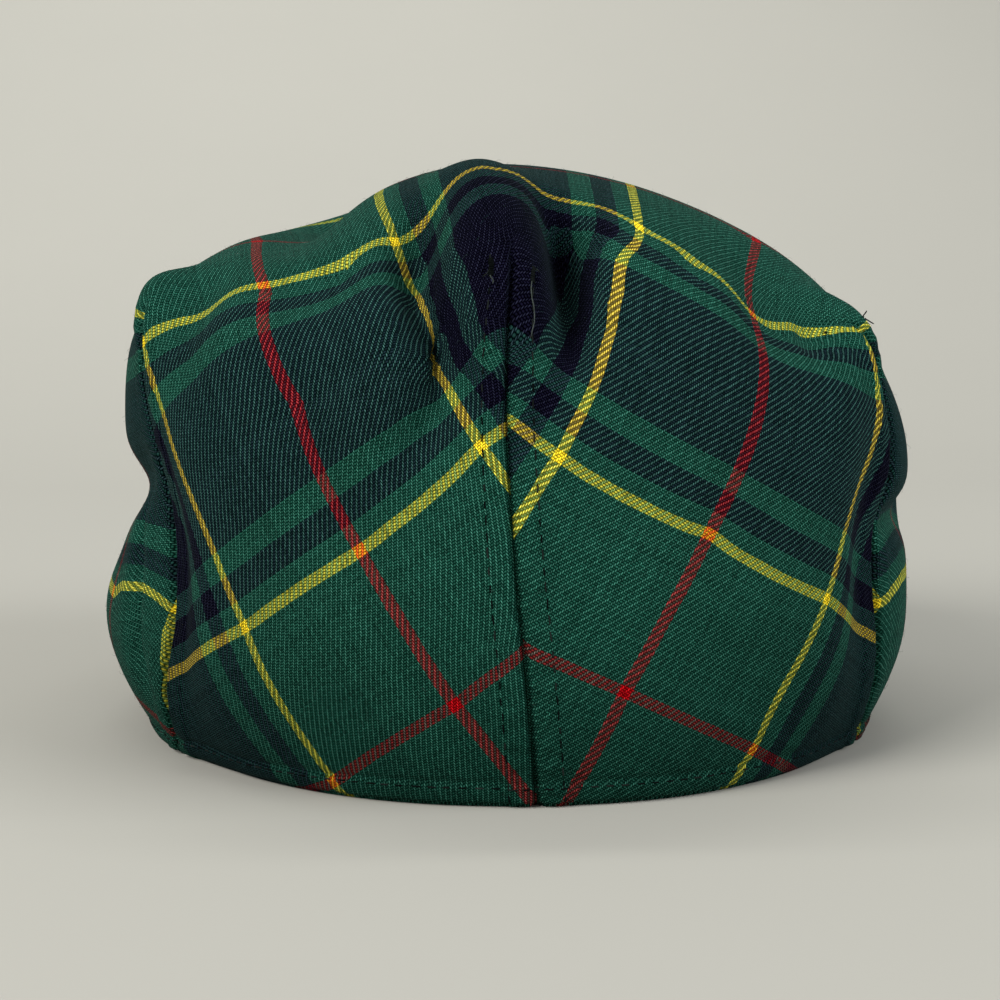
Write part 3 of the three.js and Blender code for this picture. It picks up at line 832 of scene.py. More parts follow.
def buildTwillGroup():
    # two-over-two twill with a crowded warp: each thread keeps its stripe colour, warp floats stand
    # highest, and the weft shows only as short ovals between them
    group, m, given, out = newGroup(
        "tartanTwill",
        [("Cloth", "NodeSocketVector", None), ("Warp Pitch", "NodeSocketFloat", tartan["warpPitch"]),
         ("Weft Pitch", "NodeSocketFloat", tartan["weftPitch"]),
         ("Weft Start", "NodeSocketFloat", tartan["weftStart"]),
         ("Thread Variation", "NodeSocketFloat", tartan["variation"])],
        [("Color", "NodeSocketColor"), ("Height", "NodeSocketFloat"), ("Ridge", "NodeSocketFloat"),
         ("Top Highlight", "NodeSocketFloat")])
    split = m.add("ShaderNodeSeparateXYZ", {"Vector": given.outputs["Cloth"]})
    warpPitch, weftPitch = given.outputs["Warp Pitch"], given.outputs["Weft Pitch"]
    warpPlace = m.math("DIVIDE", split.outputs["X"], warpPitch)
    weftPlace = m.math("DIVIDE", split.outputs["Y"], weftPitch)
    warpNumber, weftNumber = m.math("FLOOR", warpPlace), m.math("FLOOR", weftPlace)
    warpIn, weftIn = m.math("SUBTRACT", warpPlace, warpNumber), m.math("SUBTRACT", weftPlace, weftNumber)
    phase = m.math("FLOORED_MODULO", m.math("SUBTRACT", warpNumber, weftNumber), 4.0)
    warpOver = m.math("LESS_THAN", phase, 1.5)
    # distance from the middle of the float, -1 to 1, and from the middle of the thread
    warpAlong = m.math("SUBTRACT", weftIn, phase)
    weftAlong = m.math("ADD", m.math("SUBTRACT", phase, 3.0), warpIn)
    warpAcross = m.math("MULTIPLY", m.math("SUBTRACT", warpIn, 0.5), 2.0)
    weftAcross = m.math("MULTIPLY", m.math("SUBTRACT", weftIn, 0.5), 2.0)
    oval = m.math("ADD", m.math("POWER", m.math("DIVIDE", weftAlong, tartan["weftLength"]), 2.0),
                  m.math("POWER", m.math("DIVIDE", weftAcross, tartan["weftWidth"]), 2.0))
    warpShows = m.math("MAXIMUM", warpOver, m.math("GREATER_THAN", oval, 1.0))
    warpRound = m.math("SUBTRACT", 1.0, m.math("MULTIPLY", m.math("POWER", warpAcross, 2.0),
                                                tartan["warpFall"]))
    warpArch = m.math("SUBTRACT", 1.0, m.math("MULTIPLY", m.math("POWER", warpAlong, 2.0),
                                               tartan["floatFall"]))
    warpHeight = m.math("MULTIPLY", warpRound, m.blendValue(warpOver, tartan["warpUnder"], warpArch))
    weftHeight = m.math("MULTIPLY", m.math("SQRT", m.math("MAXIMUM", m.math("SUBTRACT", 1.0, oval), 0.0)),
                        tartan["weftRise"])
    height = m.blendValue(warpShows, weftHeight, warpHeight)
    warpMiddle = m.math("MULTIPLY", m.math("ADD", warpNumber, 0.5), warpPitch)
    weftMiddle = m.math("SUBTRACT", m.math("MULTIPLY", m.math("ADD", weftNumber, 0.5), weftPitch),
                        given.outputs["Weft Start"])
    warpColour = stripeRamp(m, m.math("PINGPONG", warpMiddle, tartan["halfRepeat"]))
    weftColour = stripeRamp(m, m.math("PINGPONG", weftMiddle, tartan["halfRepeat"]))
    share = m.math("ADD", tartan["blendWeft"],
                   m.math("MULTIPLY", warpShows, 1 - tartan["blendWarp"] - tartan["blendWeft"]))
    colour = m.eyeMix(share, weftColour, warpColour)
    shade = yarnShade(m, warpShows, warpNumber, weftNumber, phase, given.outputs["Thread Variation"])
    # painted shade in the hollows between the threads, less of it between pale threads, and painted light on
    # the crests
    pale = m.add("ShaderNodeRGBToBW", {"Color": colour}).outputs["Val"]
    filled = m.math("MULTIPLY", pale, tartan["hollowGain"], clamp=True)
    hollow = m.math("ADD", tartan["hollow"], m.math("MULTIPLY", filled, tartan["hollowPale"]))
    crestLight = m.math("MULTIPLY", m.math("POWER", height, tartan["ridgePower"]), tartan["ridge"])
    lit = m.math("ADD", hollow, crestLight)
    m.put(out.inputs["Color"], m.mix(1.0, colour, m.math("MULTIPLY", shade, lit), "MULTIPLY"))
    m.put(out.inputs["Height"], height)
    ridge = m.math("MULTIPLY", m.math("POWER", height, tartan["topPower"]), shade)
    m.put(out.inputs["Ridge"], ridge)
    # painted highlight: the tops look pale on all but navy threads and red ones that cross red
    parts = m.add("ShaderNodeSeparateColor", {"Color": colour})
    redder = m.math("SUBTRACT", parts.outputs[0], parts.outputs[1])
    top = m.math("MULTIPLY", m.math("MULTIPLY", pale, tartan["topGain"], clamp=True),
                 m.math("SUBTRACT", 2.0, m.math("MULTIPLY", redder, tartan["topRed"]), clamp=True))
    m.put(out.inputs["Top Highlight"], m.math("MULTIPLY", top, ridge))
    return group


def buildWoolGroup():
    # what every face of the wool shares: wandering threads, uneven dye, a painted highlight on the ridge
    # tops, and relief
    group, m, given, out = newGroup(
        "woolSurface",
        [("Cloth", "NodeSocketVector", None), ("Place", "NodeSocketVector", None),
         ("Wander", "NodeSocketFloat", wool["wander"]), ("Tone", "NodeSocketFloat", 1.0),
         ("Highlight", "NodeSocketFloat", 1.0), ("Relief", "NodeSocketFloat", wool["relief"])],
        [("Color", "NodeSocketColor"), ("Roughness", "NodeSocketFloat"), ("Shine", "NodeSocketFloat"),
         ("Normal", "NodeSocketVector")])
    place = given.outputs["Place"]
    wobble = m.add("ShaderNodeTexNoise", {"Vector": place, "Scale": wool["wobbleScale"], "Detail": 2.0})
    middle, wander = (0.5, 0.5, 0.5), given.outputs["Wander"]
    shift = m.add("ShaderNodeVectorMath", {0: wobble.outputs["Color"], 1: middle}, operation="SUBTRACT")
    shift = m.add("ShaderNodeVectorMath", {0: shift.outputs[0], 3: wander}, operation="SCALE")
    threads = m.add("ShaderNodeVectorMath", {0: given.outputs["Cloth"], 1: shift.outputs[0]}, operation="ADD")
    twill = m.add("ShaderNodeGroup", node_tree=twillGroup)
    m.put(twill.inputs["Cloth"], threads.outputs[0])
    fibre = m.add("ShaderNodeTexNoise", {"Vector": place, "Scale": wool["fibreScale"], "Detail": 3.0})
    fibre = fibre.outputs["Fac"]
    cloudy = m.add("ShaderNodeTexNoise", {"Vector": place, "Scale": wool["cloudScale"], "Detail": 4.0})
    tone = m.math("ADD", 0.75, m.math("MULTIPLY", cloudy.outputs["Fac"], 0.5))
    tone = m.math("MULTIPLY", tone, m.math("ADD", 0.7, m.math("MULTIPLY", fibre, 0.6)))
    tone = m.math("MULTIPLY", tone, given.outputs["Tone"])
    colour = m.mix(1.0, twill.outputs["Color"], tone, "MULTIPLY")
    # painted highlight: thin pale light on the very top of each ridge
    ridgeHighlight = m.math("MULTIPLY", m.math("MULTIPLY", twill.outputs["Top Highlight"], given.outputs["Highlight"]),
                  m.math("ADD", fibre, 0.5))
    colour = m.mix(1.0, colour, m.mix(1.0, (*tartan["highlightTint"], 1), ridgeHighlight, "MULTIPLY"), "ADD")
    height = m.math("ADD", twill.outputs["Height"], m.math("MULTIPLY", fibre, wool["fibreRelief"]))
    relief = m.add("ShaderNodeBump", {"Height": height, "Strength": given.outputs["Relief"],
                                      "Distance": wool["reliefDepth"]})
    m.put(out.inputs["Color"], colour)
    smoother = m.math("MULTIPLY", twill.outputs["Height"], wool["crestSmooth"])
    m.put(out.inputs["Roughness"], m.math("SUBTRACT", wool["roughness"], smoother))
    m.put(out.inputs["Shine"], m.math("MULTIPLY", twill.outputs["Ridge"], wool["shine"]))
    m.put(out.inputs["Normal"], relief.outputs["Normal"])
    return group


twillGroup = buildTwillGroup()
woolGroup = buildWoolGroup()


def clothMaterial(name, tone=1.0, highlight=1.0, hemShade=1.0):
    material = bpy.data.materials.new(name)
    material.use_nodes = True
    tree = material.node_tree
    tree.nodes.clear()
    m = NodeMaker(tree)
    uv = m.add("ShaderNodeUVMap", uv_map="cloth").outputs["UV"]
    inMillimetres = m.add("ShaderNodeVectorMath", {0: uv, 3: float(clothUnit)}, operation="SCALE").outputs[0]
    place = m.add("ShaderNodeTexCoord").outputs["Object"]
    surface = m.add("ShaderNodeGroup", node_tree=woolGroup)
    # painted shade: the cloth is darker towards the lower edge, and its painted highlight is weaker there
    level = m.add("ShaderNodeSeparateXYZ", {"Vector": place}).outputs["Z"]
    aboveHemShade = m.math("MULTIPLY", level, 1 / wool["hemShadeHeight"], clamp=True)
    hemShadeFactor = m.math("ADD", hemShade, m.math("MULTIPLY", aboveHemShade, 1 - hemShade))
    for label, value in (("Cloth", inMillimetres), ("Place", place), ("Tone", m.math("MULTIPLY", hemShadeFactor, tone)),
                         ("Highlight", m.math("MULTIPLY", hemShadeFactor, highlight))):
        m.put(surface.inputs[label], value)
    shader = m.add("ShaderNodeBsdfPrincipled")
    # painted sheen: fibres standing off the cloth pale its colour where it turns away from the view
    facing = m.add("ShaderNodeLayerWeight", {"Blend": 0.5}).outputs["Facing"]
    paintedSheen = m.math("MULTIPLY", m.math("POWER", facing, wool["paintedSheenPower"]), wool["paintedSheenAmount"])
    m.put(shader.inputs["Base Color"], m.mix(paintedSheen, surface.outputs["Color"], (*wool["paintedSheen"], 1)))
    m.put(shader.inputs["Normal"], surface.outputs["Normal"])
    m.put(shader.inputs["Roughness"], surface.outputs["Roughness"])
    m.put(shader.inputs["Specular IOR Level"], surface.outputs["Shine"])
    shader.inputs["Sheen Weight"].default_value = wool["sheen"]
    shader.inputs["Sheen Roughness"].default_value = wool["sheenRoughness"]
    shader.inputs["Sheen Tint"].default_value = (*wool["sheenTint"], 1)
    output = m.add("ShaderNodeOutputMaterial")
    tree.links.new(shader.outputs[0], output.inputs[0])
    return material


# the outer wall has painted shade towards its lower edge
crownMaterial = clothMaterial("tartan_twill", hemShade=0.55)
insideMaterial = clothMaterial("twill_inside", tone=0.85, highlight=0.6)
peakMaterial = clothMaterial("twill_on_peak")
print("materials made")

innerRowsAt = np.linspace(0, crown["rows"], crown["innerRows"] + 1).round().astype(int)


# crown mesh
def crownRings():
    # rings of points: down the inner wall, round the rolled edge and up the outer wall
    radius = crown["rimRadius"]
    lift = np.array([0, 0, radius])
    outerRows = outer[:-1, :-1].copy()
    raised = np.maximum(outerRows[..., 2], (outerRows[0, :, 2] + radius)[None, :])
    outerRows[:4, :, 2] = raised[:4]
    innerRows = inner[innerRowsAt[:-1], :-1].copy()
    innerRows[0, :, 2] += radius
    outerEdge, innerEdge = outerRows[0], innerRows[0]
    middle, across = (outerEdge + innerEdge) / 2, (outerEdge - innerEdge) / 2
    turns = np.linspace(0, np.pi, crown["rollRings"] + 2)[1:-1]
    roll = [middle + across * np.cos(t) - lift * np.sin(t) for t in turns]
    return [*innerRows[::-1], *roll[::-1], *outerRows]


def crownMap():
    # cloth coordinates of each face's corners: the cloth runs on round the rolled edge, and the inner
    # wall shows the cloth that lies outside it
    innerCount, rollCount = crown["innerRows"], crown["rollRings"]
    outerStart = innerCount + rollCount
    low, high = crownCloth[0][:, [0, 1]], crownCloth[0][:, [3, 2]]
    down = (low - high) * 1.3
    uv = np.zeros((outerStart + crown["rows"] - 1, *crownCloth.shape[1:]))
    for k in range(innerCount - 1):
        top, bottom = innerRowsAt[innerCount - 1 - k], innerRowsAt[innerCount - 2 - k]
        uv[k, :, 0], uv[k, :, 1] = crownCloth[top - 1][:, 3], crownCloth[top - 1][:, 2]
        uv[k, :, 2], uv[k, :, 3] = crownCloth[bottom][:, 1], crownCloth[bottom][:, 0]
    step = np.linspace(1, 0, rollCount + 2)
    for k in range(rollCount + 1):
        uv[innerCount - 1 + k][:, [0, 1]] = low + down * step[k]
        uv[innerCount - 1 + k][:, [3, 2]] = low + down * step[k + 1]
    uv[outerStart:] = crownCloth[:-1]
    innerTop, outerTop = crownCloth[innerRowsAt[-2] - 1], crownCloth[-1]
    pole = np.broadcast_to(outerTop[:, 3].mean(0), outerTop[:, 3].shape)
    innerFan = np.stack([pole, innerTop[:, 2], innerTop[:, 3]], 1)
    return np.concatenate([uv.reshape(-1, 2), innerFan.reshape(-1, 2), outerTop[:, :3].reshape(-1, 2)])


def buildCrown():
    # both walls and the edge on the same columns, closed by a fan at the top of each wall
    rings = crownRings()
    ringCount, columns = len(rings), len(angles) - 1
    points = np.concatenate([*rings, [inner[-1, 0]], [outer[-1, 0]]])
    i, j = (a.ravel() for a in np.meshgrid(np.arange(ringCount - 1), np.arange(columns), indexing="ij"))
    after = (j + 1) % columns
    quads = np.stack([i * columns + j, i * columns + after, (i + 1) * columns + after,
                      (i + 1) * columns + j], 1)
    first = np.arange(columns)
    second = (first + 1) % columns
    innerPole, outerPole = ringCount * columns, ringCount * columns + 1
    lastRing = (ringCount - 1) * columns
    innerFan = np.stack([np.full(columns, innerPole), second, first], 1)
    outerFan = np.stack([lastRing + first, lastRing + second, np.full(columns, outerPole)], 1)
    faces = quads.tolist() + innerFan.tolist() + outerFan.tolist()
    isInner = np.concatenate([i < crown["innerRows"] - 1, np.ones(columns, bool), np.zeros(columns, bool)])
    return meshObject("crown_cloth", points, faces, [crownMaterial, insideMaterial], isInner.astype(int),
                      crownMap() / clothUnit)


crownPiece = buildCrown()
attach(crownPiece, "root")
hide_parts("crown")
print("crown made:", len(crownPiece.data.polygons), "faces")


# stitching and fibres
spun = {"grainScale": 3500.0, "plies": 2400.0, "specular": 0.04}


def spool(name, dark, pale, roughness):
    # thread or fibre whose tone, from dark to pale, is the first number of its map; plies show as fine bands
    material = bpy.data.materials.new(name)
    material.use_nodes = True
    tree = material.node_tree
    tree.nodes.clear()
    m = NodeMaker(tree)
    split = m.add("ShaderNodeSeparateXYZ", {"Vector": m.add("ShaderNodeUVMap", uv_map="cloth").outputs["UV"]})
    place = m.add("ShaderNodeTexCoord").outputs["Object"]
    grain = m.add("ShaderNodeTexNoise", {"Vector": place, "Scale": spun["grainScale"], "Detail": 2.0})
    ply = m.math("SINE", m.math("MULTIPLY", split.outputs["Y"], spun["plies"]))
    colour = m.mix(split.outputs["X"], (*dark, 1), (*pale, 1))
    uneven = m.math("ADD", m.math("MULTIPLY", grain.outputs["Fac"], 0.7), m.math("MULTIPLY", ply, 0.12))
    shade = m.math("ADD", 0.55, uneven)
    shader = m.add("ShaderNodeBsdfPrincipled")
    m.put(shader.inputs["Base Color"], m.mix(1.0, colour, shade, "MULTIPLY"))
    shader.inputs["Roughness"].default_value = roughness
    shader.inputs["Specular IOR Level"].default_value = spun["specular"]
    output = m.add("ShaderNodeOutputMaterial")
    tree.links.new(shader.outputs[0], output.inputs[0])
    return material


stitching = {
    "pitch": 3.0,
    "length": 2.1,
    "radius": 0.15,
    "start": 1.5,            # from the start of a line to its first stitch
    "hemUp": 4.7,            # height of the hem's stitches above the lower edge
    "tackStitches": 9,
    "tackStep": 0.42,
    "tackReach": 0.6,        # half length of a tack's stitch
    "tackRadius": 0.24,
    "underTack": 3.5,        # the row under a tack stops this far below it
    "sides": 6,
    "dark": (0.0008, 0.0016, 0.0016),
    "pale": (0.09, 0.11, 0.10),
}
fibres = {
    "count": 2600,
    "length": (0.5, 1.7),
    "radius": 0.022,
    "rise": (0.15, 0.75),
    "curl": (-0.6, 0.6),
    "sides": 3,
    "dark": (0.0033, 0.025, 0.018),
    "pale": (0.05, 0.088, 0.074),
}

# loose thread ends: seam, side of it, millimetres back from the end of the line, run down the line, lean
# to the side, lift off the cloth, tone from dark to pale, and radius
looseEnds = [
    ("back",   1, 2.0, 13.0,  0.6, 0.5, 0.55, 0.10),
    ("back",   1, 1.0, -2.6,  0.9, 0.8, 0.20, 0.13),
    ("back",  -1, 3.2,  2.6, -0.9, 0.9, 0.35, 0.13),
    ("back",  -1, 0.6, -2.2,  0.7, 0.9, 0.15, 0.13),
    ("back",  -1, 2.0,  2.0,  1.4, 0.7, 0.10, 0.13),
    ("right", -1, 0.3, -2.4, -0.8, 1.0, 0.05, 0.13),
    ("right",  1, 0.3, -2.8,  0.9, 1.2, 0.05, 0.13),
    ("right",  1, 0.6,  2.2, -1.2, 0.9, 0.10, 0.13)]
chance = np.random.default_rng(11)


def besideSeam(column, distance, top):
    # points and normals up a stitched line: distance 1 is the line right of the seam, -1 the one left of it
    rows = np.where(levels <= top)[0]
    away = distanceRound(outer, column)
    wanted = distance * stitchLine(levels)
    place = np.array([np.interp(wanted[i], away[i], np.arange(len(angles))) for i in rows])
    left = place.astype(int)
    share = (place - left)[:, None]
    pick = lambda grid: grid[rows, left] * (1 - share) + grid[rows, left + 1] * share
    return pick(outer), pick(outerNormal)


def aboveEdge(height):
    # points and normals round the line that keeps one height above the lower edge
    up = distanceUp(outer)
    columns = np.arange(len(angles))
    place = np.array([np.interp(height, up[:, j], np.arange(len(levels))) for j in columns])
    low = place.astype(int)
    share = (place - low)[:, None]
    pick = lambda grid: grid[low, columns] * (1 - share) + grid[low + 1, columns] * share
    return pick(outer), pick(outerNormal)


def alongLine(line, at):
    # point and normal at each distance along a line; at may have any shape
    points, normals = line
    travelled = np.concatenate([[0], np.cumsum(np.linalg.norm(np.diff(points, axis=0), axis=1))])
    look = lambda rows: np.stack([np.interp(at, travelled, rows[:, k]) for k in range(3)], -1)
    return look(points), look(normals)


def lineLength(line):
    return np.linalg.norm(np.diff(line[0], axis=0), axis=1).sum()


def stitchRow(line, tone, end=0.0):
    # stitches along a line, each arched a little out of the cloth and pulled into it at both ends
    start, radius = stitching["start"], stitching["radius"]
    total = lineLength(line) - end
    count = int((total - start) / stitching["pitch"])
    first = start + np.arange(count) * stitching["pitch"] + chance.uniform(-0.12, 0.12, count)
    length = stitching["length"] * chance.uniform(0.7, 1.1, count)
    at = first[:, None] + length[:, None] * np.array([0, 0.12, 0.5, 0.88, 1])
    centre, normal = alongLine(line, at)
    centre = centre + normal * (radius * np.array([-1.3, 0.0, 0.4, 0.0, -1.3]))[:, None]
    width = radius * np.array([0.5, 0.95, 1.0, 0.95, 0.5]) * np.ones((count, 1))
    return centre, normal, width, np.clip(tone + chance.uniform(-0.12, 0.12, count), 0, 1)


def tack(column, distance, top, tone):
    # a close row of short stitches laid across the end of a stitched line
    reach = stitching["tackReach"] / stitchLine(top) * np.linspace(-1, 1, 5)
    lines = [besideSeam(column, distance + d, top) for d in reach]
    back = stitching["tackStep"] * np.arange(stitching["tackStitches"])
    found = [alongLine(line, lineLength(line) - back + chance.uniform(-0.08, 0.08, len(back)))
             for line in lines]
    centre, normal = (np.stack([f[k] for f in found], 1) for k in (0, 1))
    radius = stitching["tackRadius"]
    centre = centre + normal * (radius * np.array([-1.0, 0.5, 0.9, 0.5, -1.0]))[:, None]
    width = radius * np.array([0.6, 1.0, 1.05, 1.0, 0.6]) * np.ones((len(back), 1))
    return centre, normal, width, np.full(len(back), tone)


def threadEnd(column, top, distance, back, run, lean, lift, tone, radius):
    # a loose end: leaves its line, wanders down or across the cloth and lifts off it toward the tip
    line = besideSeam(column, distance, top)
    share = np.linspace(0, 1, 9)
    centre, normal = alongLine(line, lineLength(line) - back - run * share)
    side = np.cross(centre[-1] - centre[0], normal[4])
    side /= np.linalg.norm(side)
    sway = lean * (share**1.5) + 0.25 * np.sin(share * 7) * abs(run) / 6
    centre = centre + side * sway[:, None] + normal * (0.12 + lift * share**1.6)[:, None]
    width = radius * np.where(share > 0.9, 0.45, 1.0)
    return centre[None], normal[None], width[None], np.array([tone])


def looseFibres():
    # short fibres that stand off the cloth, more of them where it is larger
    low, high, side = outer[4:-2, :-1], outer[5:-1, :-1], outer[4:-2, 1:]
    area = np.linalg.norm(np.cross(high - low, side - low), axis=-1).ravel()
    chosen = chance.choice(len(area), fibres["count"], p=area / area.sum())
    i, j = np.unravel_index(chosen, low.shape[:2])
    root, normal = low[i, j], outerNormal[4:-2, :-1][i, j]
    across = side[i, j] - low[i, j]
    across /= np.linalg.norm(across, axis=1, keepdims=True)
    up = np.cross(normal, across)
    turn = chance.uniform(0, 2 * np.pi, len(i))[:, None]
    ahead = across * np.cos(turn) + up * np.sin(turn)
    beside = np.cross(normal, ahead)
    share = np.linspace(0, 1, 5)[None, :, None]
    length = chance.uniform(*fibres["length"], len(i))[:, None, None]
    rise = chance.uniform(*fibres["rise"], len(i))[:, None, None]
    curl = chance.uniform(*fibres["curl"], len(i))[:, None, None]
    centre = (root[:, None] + ahead[:, None] * length * share * (1 - 0.3 * rise * share)
              + normal[:, None] * (length * rise * np.sin(share * 2.2) * 0.8 - 0.1)
              + beside[:, None] * length * curl * share**2)
    width = fibres["radius"] * np.array([1.2, 1.0, 0.9, 0.7, 0.35]) * np.ones((len(i), 1))
    return centre, np.broadcast_to(normal[:, None], centre.shape), width, chance.uniform(0, 1, len(i)) ** 1.5


def tubeFaces(rings, sides):
    # faces of one closed tube: quads between rings and a fan over each end
    k, r = (a.ravel() for a in np.meshgrid(np.arange(sides), np.arange(rings - 1)))
    after = (k + 1) % sides
    quads = np.stack([r * sides + k, (r + 1) * sides + k, (r + 1) * sides + after, r * sides + after], 1)
    k = np.arange(sides)
    after = (k + 1) % sides
    last = (rings - 1) * sides
    first = np.stack([np.full(sides, rings * sides), k, after], 1)
    second = np.stack([np.full(sides, rings * sides + 1), last + after, last + k], 1)
    return quads, np.concatenate([first, second])


def tubes(name, sets, sides, material):
    # closed tubes through rows of points, rings square to each path, all in one mesh
    points, faces, uv, start = [], [], [], 0
    for centre, normal, width, tone in sets:
        count, rings = centre.shape[:2]
        along = np.gradient(centre, axis=1)
        along /= np.linalg.norm(along, axis=-1, keepdims=True)
        side = np.cross(along, normal)
        side /= np.linalg.norm(side, axis=-1, keepdims=True)
        up = np.cross(side, along)
        turn = 2 * np.pi * np.arange(sides) / sides
        spoke = side[:, :, None] * np.cos(turn)[:, None] + up[:, :, None] * np.sin(turn)[:, None]
        ring = (centre[:, :, None] + spoke * width[..., None, None]).reshape(count, rings * sides, 3)
        ends = np.stack([centre[:, 0] - along[:, 0] * width[:, :1] * 0.6,
                         centre[:, -1] + along[:, -1] * width[:, -1:] * 0.6], 1)
        points.append(np.concatenate([ring, ends], 1).reshape(-1, 3))
        quads, fans = tubeFaces(rings, sides)
        offset = start + (rings * sides + 2) * np.arange(count)[:, None, None]
        step = np.linalg.norm(np.diff(centre, axis=1), axis=-1)
        travelled = np.concatenate([np.zeros((count, 1)), np.cumsum(step, axis=1)], 1)
        place = np.concatenate([np.repeat(travelled, sides, axis=1), travelled[:, :1], travelled[:, -1:]], 1)
        place = place / 1000  # in metres
        for shape in (quads, fans):
            faces += (shape[None] + offset).reshape(-1, shape.shape[1]).tolist()
            tones = np.broadcast_to(tone[:, None, None], (count, *shape.shape))
            uv.append(np.stack([tones, place[:, shape]], -1).reshape(-1, 2))
        start += count * (rings * sides + 2)
    return meshObject(name, np.concatenate(points), faces, [material], None, np.concatenate(uv))


def buildStitches():
    tackTop = seams["tackLevel"] + 0.012
    lineEnds = {"back": (middleColumn, tackTop), "right": (dartColumns[1], crown["sideDartLevel"] - 0.02)}
    sets = [stitchRow(besideSeam(middleColumn, side, tackTop), tone, end=stitching["underTack"])
            for side, tone in ((-1, 0.02), (1, 0.03))]
    sets += [tack(middleColumn, side, tackTop, tone) for side, tone in ((-1, 0.0), (1, 0.03))]
    sets.append(stitchRow(aboveEdge(stitching["hemUp"]), 0.05))
    sets += [threadEnd(*lineEnds[seam], *rest) for seam, *rest in looseEnds]
    thread = spool("stitch_thread", stitching["dark"], stitching["pale"], 0.8)
    return tubes("stitches", sets, stitching["sides"], thread)


stitchPiece = buildStitches()
fibreMaterial = spool("wool_fibre", fibres["dark"], fibres["pale"], 0.9)
fibrePiece = tubes("wool_fibres", [looseFibres()], fibres["sides"], fibreMaterial)
for piece in (stitchPiece, fibrePiece):
    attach(piece, "root")
print("stitches made:", len(stitchPiece.data.polygons), "faces, fibres:", len(fibrePiece.data.polygons))


# peak
def peakSection(width):
    # once round the section: how far from the inner to the outer line, and how high, for each column
    half, level = peak["thickness"] / 2, np.ones_like(width)
    inset = np.minimum(half, width * 0.3) / width
    flat = np.linspace(0, 1, peak["across"])
    turn = np.linspace(-np.pi / 2, np.pi / 2, peak["turns"] * 2 + 1)[1:-1]
    loop = [(inset + (1 - 2 * inset) * k, 0 * level) for k in flat]
    loop += [(1 - inset + inset * np.cos(t), (half + half * np.sin(t)) * level) for t in turn]
    loop += [(inset + (1 - 2 * inset) * k, 2 * half * level) for k in flat[::-1]]
    loop += [(inset - inset * np.cos(t), (half + half * np.sin(t)) * level) for t in turn[::-1]]
    return np.moveaxis(np.array(loop), 1, 0)


def peakPoints():
    # crescent between the head line and the outer edge, top and bottom joined by a half-round edge
    q = np.linspace(-1, 1, peak["columns"] + 1)
    start = np.arcsin(peak["centre"] / peak["innerHalfLength"])
    innerAngle, outerAngle = (np.pi / 2 - start) * q, np.pi / 2 * q
    innerLine = np.stack([peak["innerHalfWidth"] * np.sin(innerAngle),
                          peak["innerHalfLength"] * np.cos(innerAngle)], -1)
    outerLine = np.stack([peak["halfWidth"] * np.sin(outerAngle),
                          peak["centre"] + peak["reach"] * np.cos(outerAngle)], -1)
    share, height = peakSection(np.linalg.norm(outerLine - innerLine, axis=-1))
    place = innerLine[None] + (outerLine - innerLine)[None] * share[..., None]
    x, y = place[..., 0], place[..., 1]
    return np.stack([x, y, peakUnderside(x, y) + height], -1)


def buildPeak():
    # loops of points from side to side, closed by a fan at each end
    points = peakPoints()
    loop, row = points.shape[:2]
    i, j = (a.ravel() for a in np.meshgrid(np.arange(loop), np.arange(row - 1), indexing="ij"))
    below = (i + 1) % loop
    quads = np.stack([i * row + j, below * row + j, below * row + j + 1, i * row + j + 1], 1)
    k = np.arange(loop)
    after = (k + 1) % loop
    firstPole, lastPole = loop * row, loop * row + 1
    leftFan = np.stack([k * row, np.full(loop, firstPole), after * row], 1)
    rightFan = np.stack([k * row + row - 1, after * row + row - 1, np.full(loop, lastPole)], 1)
    allPoints = np.concatenate([points.reshape(-1, 3), points[:, [0, -1]].mean(0)])
    faces = quads.tolist() + leftFan.tolist() + rightFan.tolist()
    corners = np.concatenate([quads.ravel(), leftFan.ravel(), rightFan.ravel()])
    uv = allPoints[corners][:, :2] / clothUnit
    return meshObject("peak_cloth", allPoints, faces, [peakMaterial], None, uv)


peakPiece = buildPeak()
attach(peakPiece, "root")
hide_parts("peak")
print("peak made")

# floor, light and camera
stage = {
    "floor": (0.475, 0.466, 0.420),
    "depth": 2.8,
    "bend": 2.2,             # radius of the bend between floor and backdrop
    "height": 2.4,
    "halfWidth": 6.0,
    "front": 6.0,
    "air": 0.25,             # even light from all round
    "airColour": (0.95, 0.97, 1.0),
}
lights = {
    "window": {"place": (-1.2, -1.15, 0.95), "target": (0, 0, 0.05), "size": (1.0, 0.8),
               "power": 37, "colour": (1.0, 0.985, 0.96)},
    "room": {"place": (1.45, -0.85, 0.65), "target": (0, 0, 0.05), "size": (1.4, 1.2),
             "power": 26, "colour": (0.96, 0.98, 1.0)},
    "ceiling": {"place": (0, 0.4, 2.0), "target": (0, 0, 0), "size": (2.0, 2.0),
                "power": 2, "colour": (1.0, 1.0, 0.98)},
    "wall": {"place": (-0.3, 0.6, 2.2), "target": (-0.3, 2.6, 0.9), "size": (2.4, 0.8),
             "power": 45, "colour": (1.0, 1.0, 0.98)},
}
view = {
    "distance": 0.427,       # metres behind the middle of the head
    "height": 0.0865,
    "turn": 3.7,             # degrees round to the left, and down
    "pitch": 5.07,
    "focal": 66.5,
    "sensor": 36,
    "axisShift": 0.005,
    "near": 0.01,
    "far": 20,
}


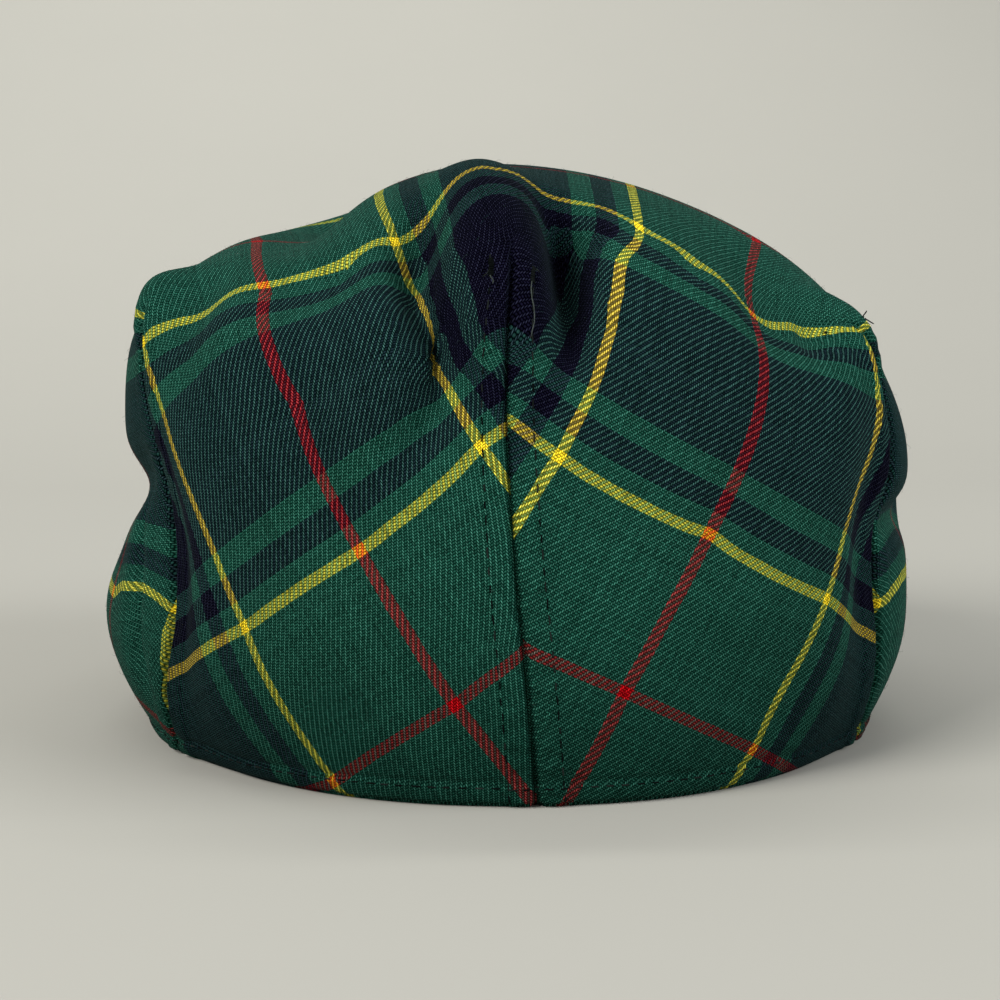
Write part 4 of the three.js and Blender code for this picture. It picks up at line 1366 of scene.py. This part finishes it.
def buildStage():
    # a floor that bends up into the backdrop in one sheet
    floorEnd, bend = stage["depth"] - stage["bend"], stage["bend"]
    profile = [(-stage["front"], 0.0), (floorEnd, 0.0)]
    profile += [(floorEnd + bend * np.sin(t), bend - bend * np.cos(t))
                for t in np.linspace(0, np.pi / 2, 24)[1:]]
    profile += [(stage["depth"], stage["height"])]
    points = [(x, y, z) for y, z in profile for x in (-stage["halfWidth"], stage["halfWidth"])]
    faces = [(2 * k, 2 * k + 1, 2 * k + 3, 2 * k + 2) for k in range(len(profile) - 1)]
    mesh = bpy.data.meshes.new("floor")
    mesh.from_pydata(points, [], faces)
    mesh.polygons.foreach_set("use_smooth", [True] * len(faces))
    obj = bpy.data.objects.new("floor", mesh)
    bpy.context.scene.collection.objects.link(obj)
    material = bpy.data.materials.new("pale_paper")
    material.use_nodes = True
    m = NodeMaker(material.node_tree)
    shader = material.node_tree.nodes["Principled BSDF"]
    place = m.add("ShaderNodeTexCoord").outputs["Object"]
    grain = m.add("ShaderNodeTexNoise", {"Vector": place, "Scale": 3.0, "Detail": 3.0}).outputs["Fac"]
    darker = tuple(0.96 * c for c in stage["floor"])
    m.put(shader.inputs["Base Color"], m.mix(grain, (*stage["floor"], 1), (*darker, 1)))
    shader.inputs["Roughness"].default_value = 1.0
    shader.inputs["Specular IOR Level"].default_value = 0.0
    mesh.materials.append(material)


def addLight(name, place, target, size, power, colour):
    data = bpy.data.lights.new(name, "AREA")
    data.shape, data.size, data.size_y = "RECTANGLE", size[0], size[1]
    data.energy, data.color = power, colour
    obj = bpy.data.objects.new(name, data)
    bpy.context.scene.collection.objects.link(obj)
    obj.location = place
    obj.rotation_euler = (Vector(target) - Vector(place)).to_track_quat("-Z", "Y").to_euler()


buildStage()
for name, light in lights.items():
    addLight(name, **light)
world = bpy.data.worlds.new("soft")
world.use_nodes = True
background = world.node_tree.nodes["Background"]
background.inputs["Color"].default_value = (*stage["airColour"], 1)
background.inputs["Strength"].default_value = stage["air"]
scene = bpy.context.scene
scene.world = world
scene.view_settings.view_transform = "Standard"

cameraData = bpy.data.cameras.new("camera")
cameraData.lens, cameraData.sensor_width = view["focal"], view["sensor"]
cameraData.shift_x = -view["axisShift"]
cameraData.clip_start, cameraData.clip_end = view["near"], view["far"]
camera = bpy.data.objects.new("camera", cameraData)
scene.collection.objects.link(camera)
turn, pitch = np.radians(view["turn"]), np.radians(view["pitch"])
headMiddle = Vector(toRow * mm)
toward = Vector((np.sin(turn) * np.cos(pitch), np.cos(turn) * np.cos(pitch), -np.sin(pitch)))
behind = Vector((-np.sin(turn), -np.cos(turn), 0))
camera.location = headMiddle + behind * view["distance"] + Vector((0, 0, view["height"]))
camera.rotation_euler = toward.to_track_quat("-Z", "Y").to_euler()
scene.camera = camera

print("scene finished")
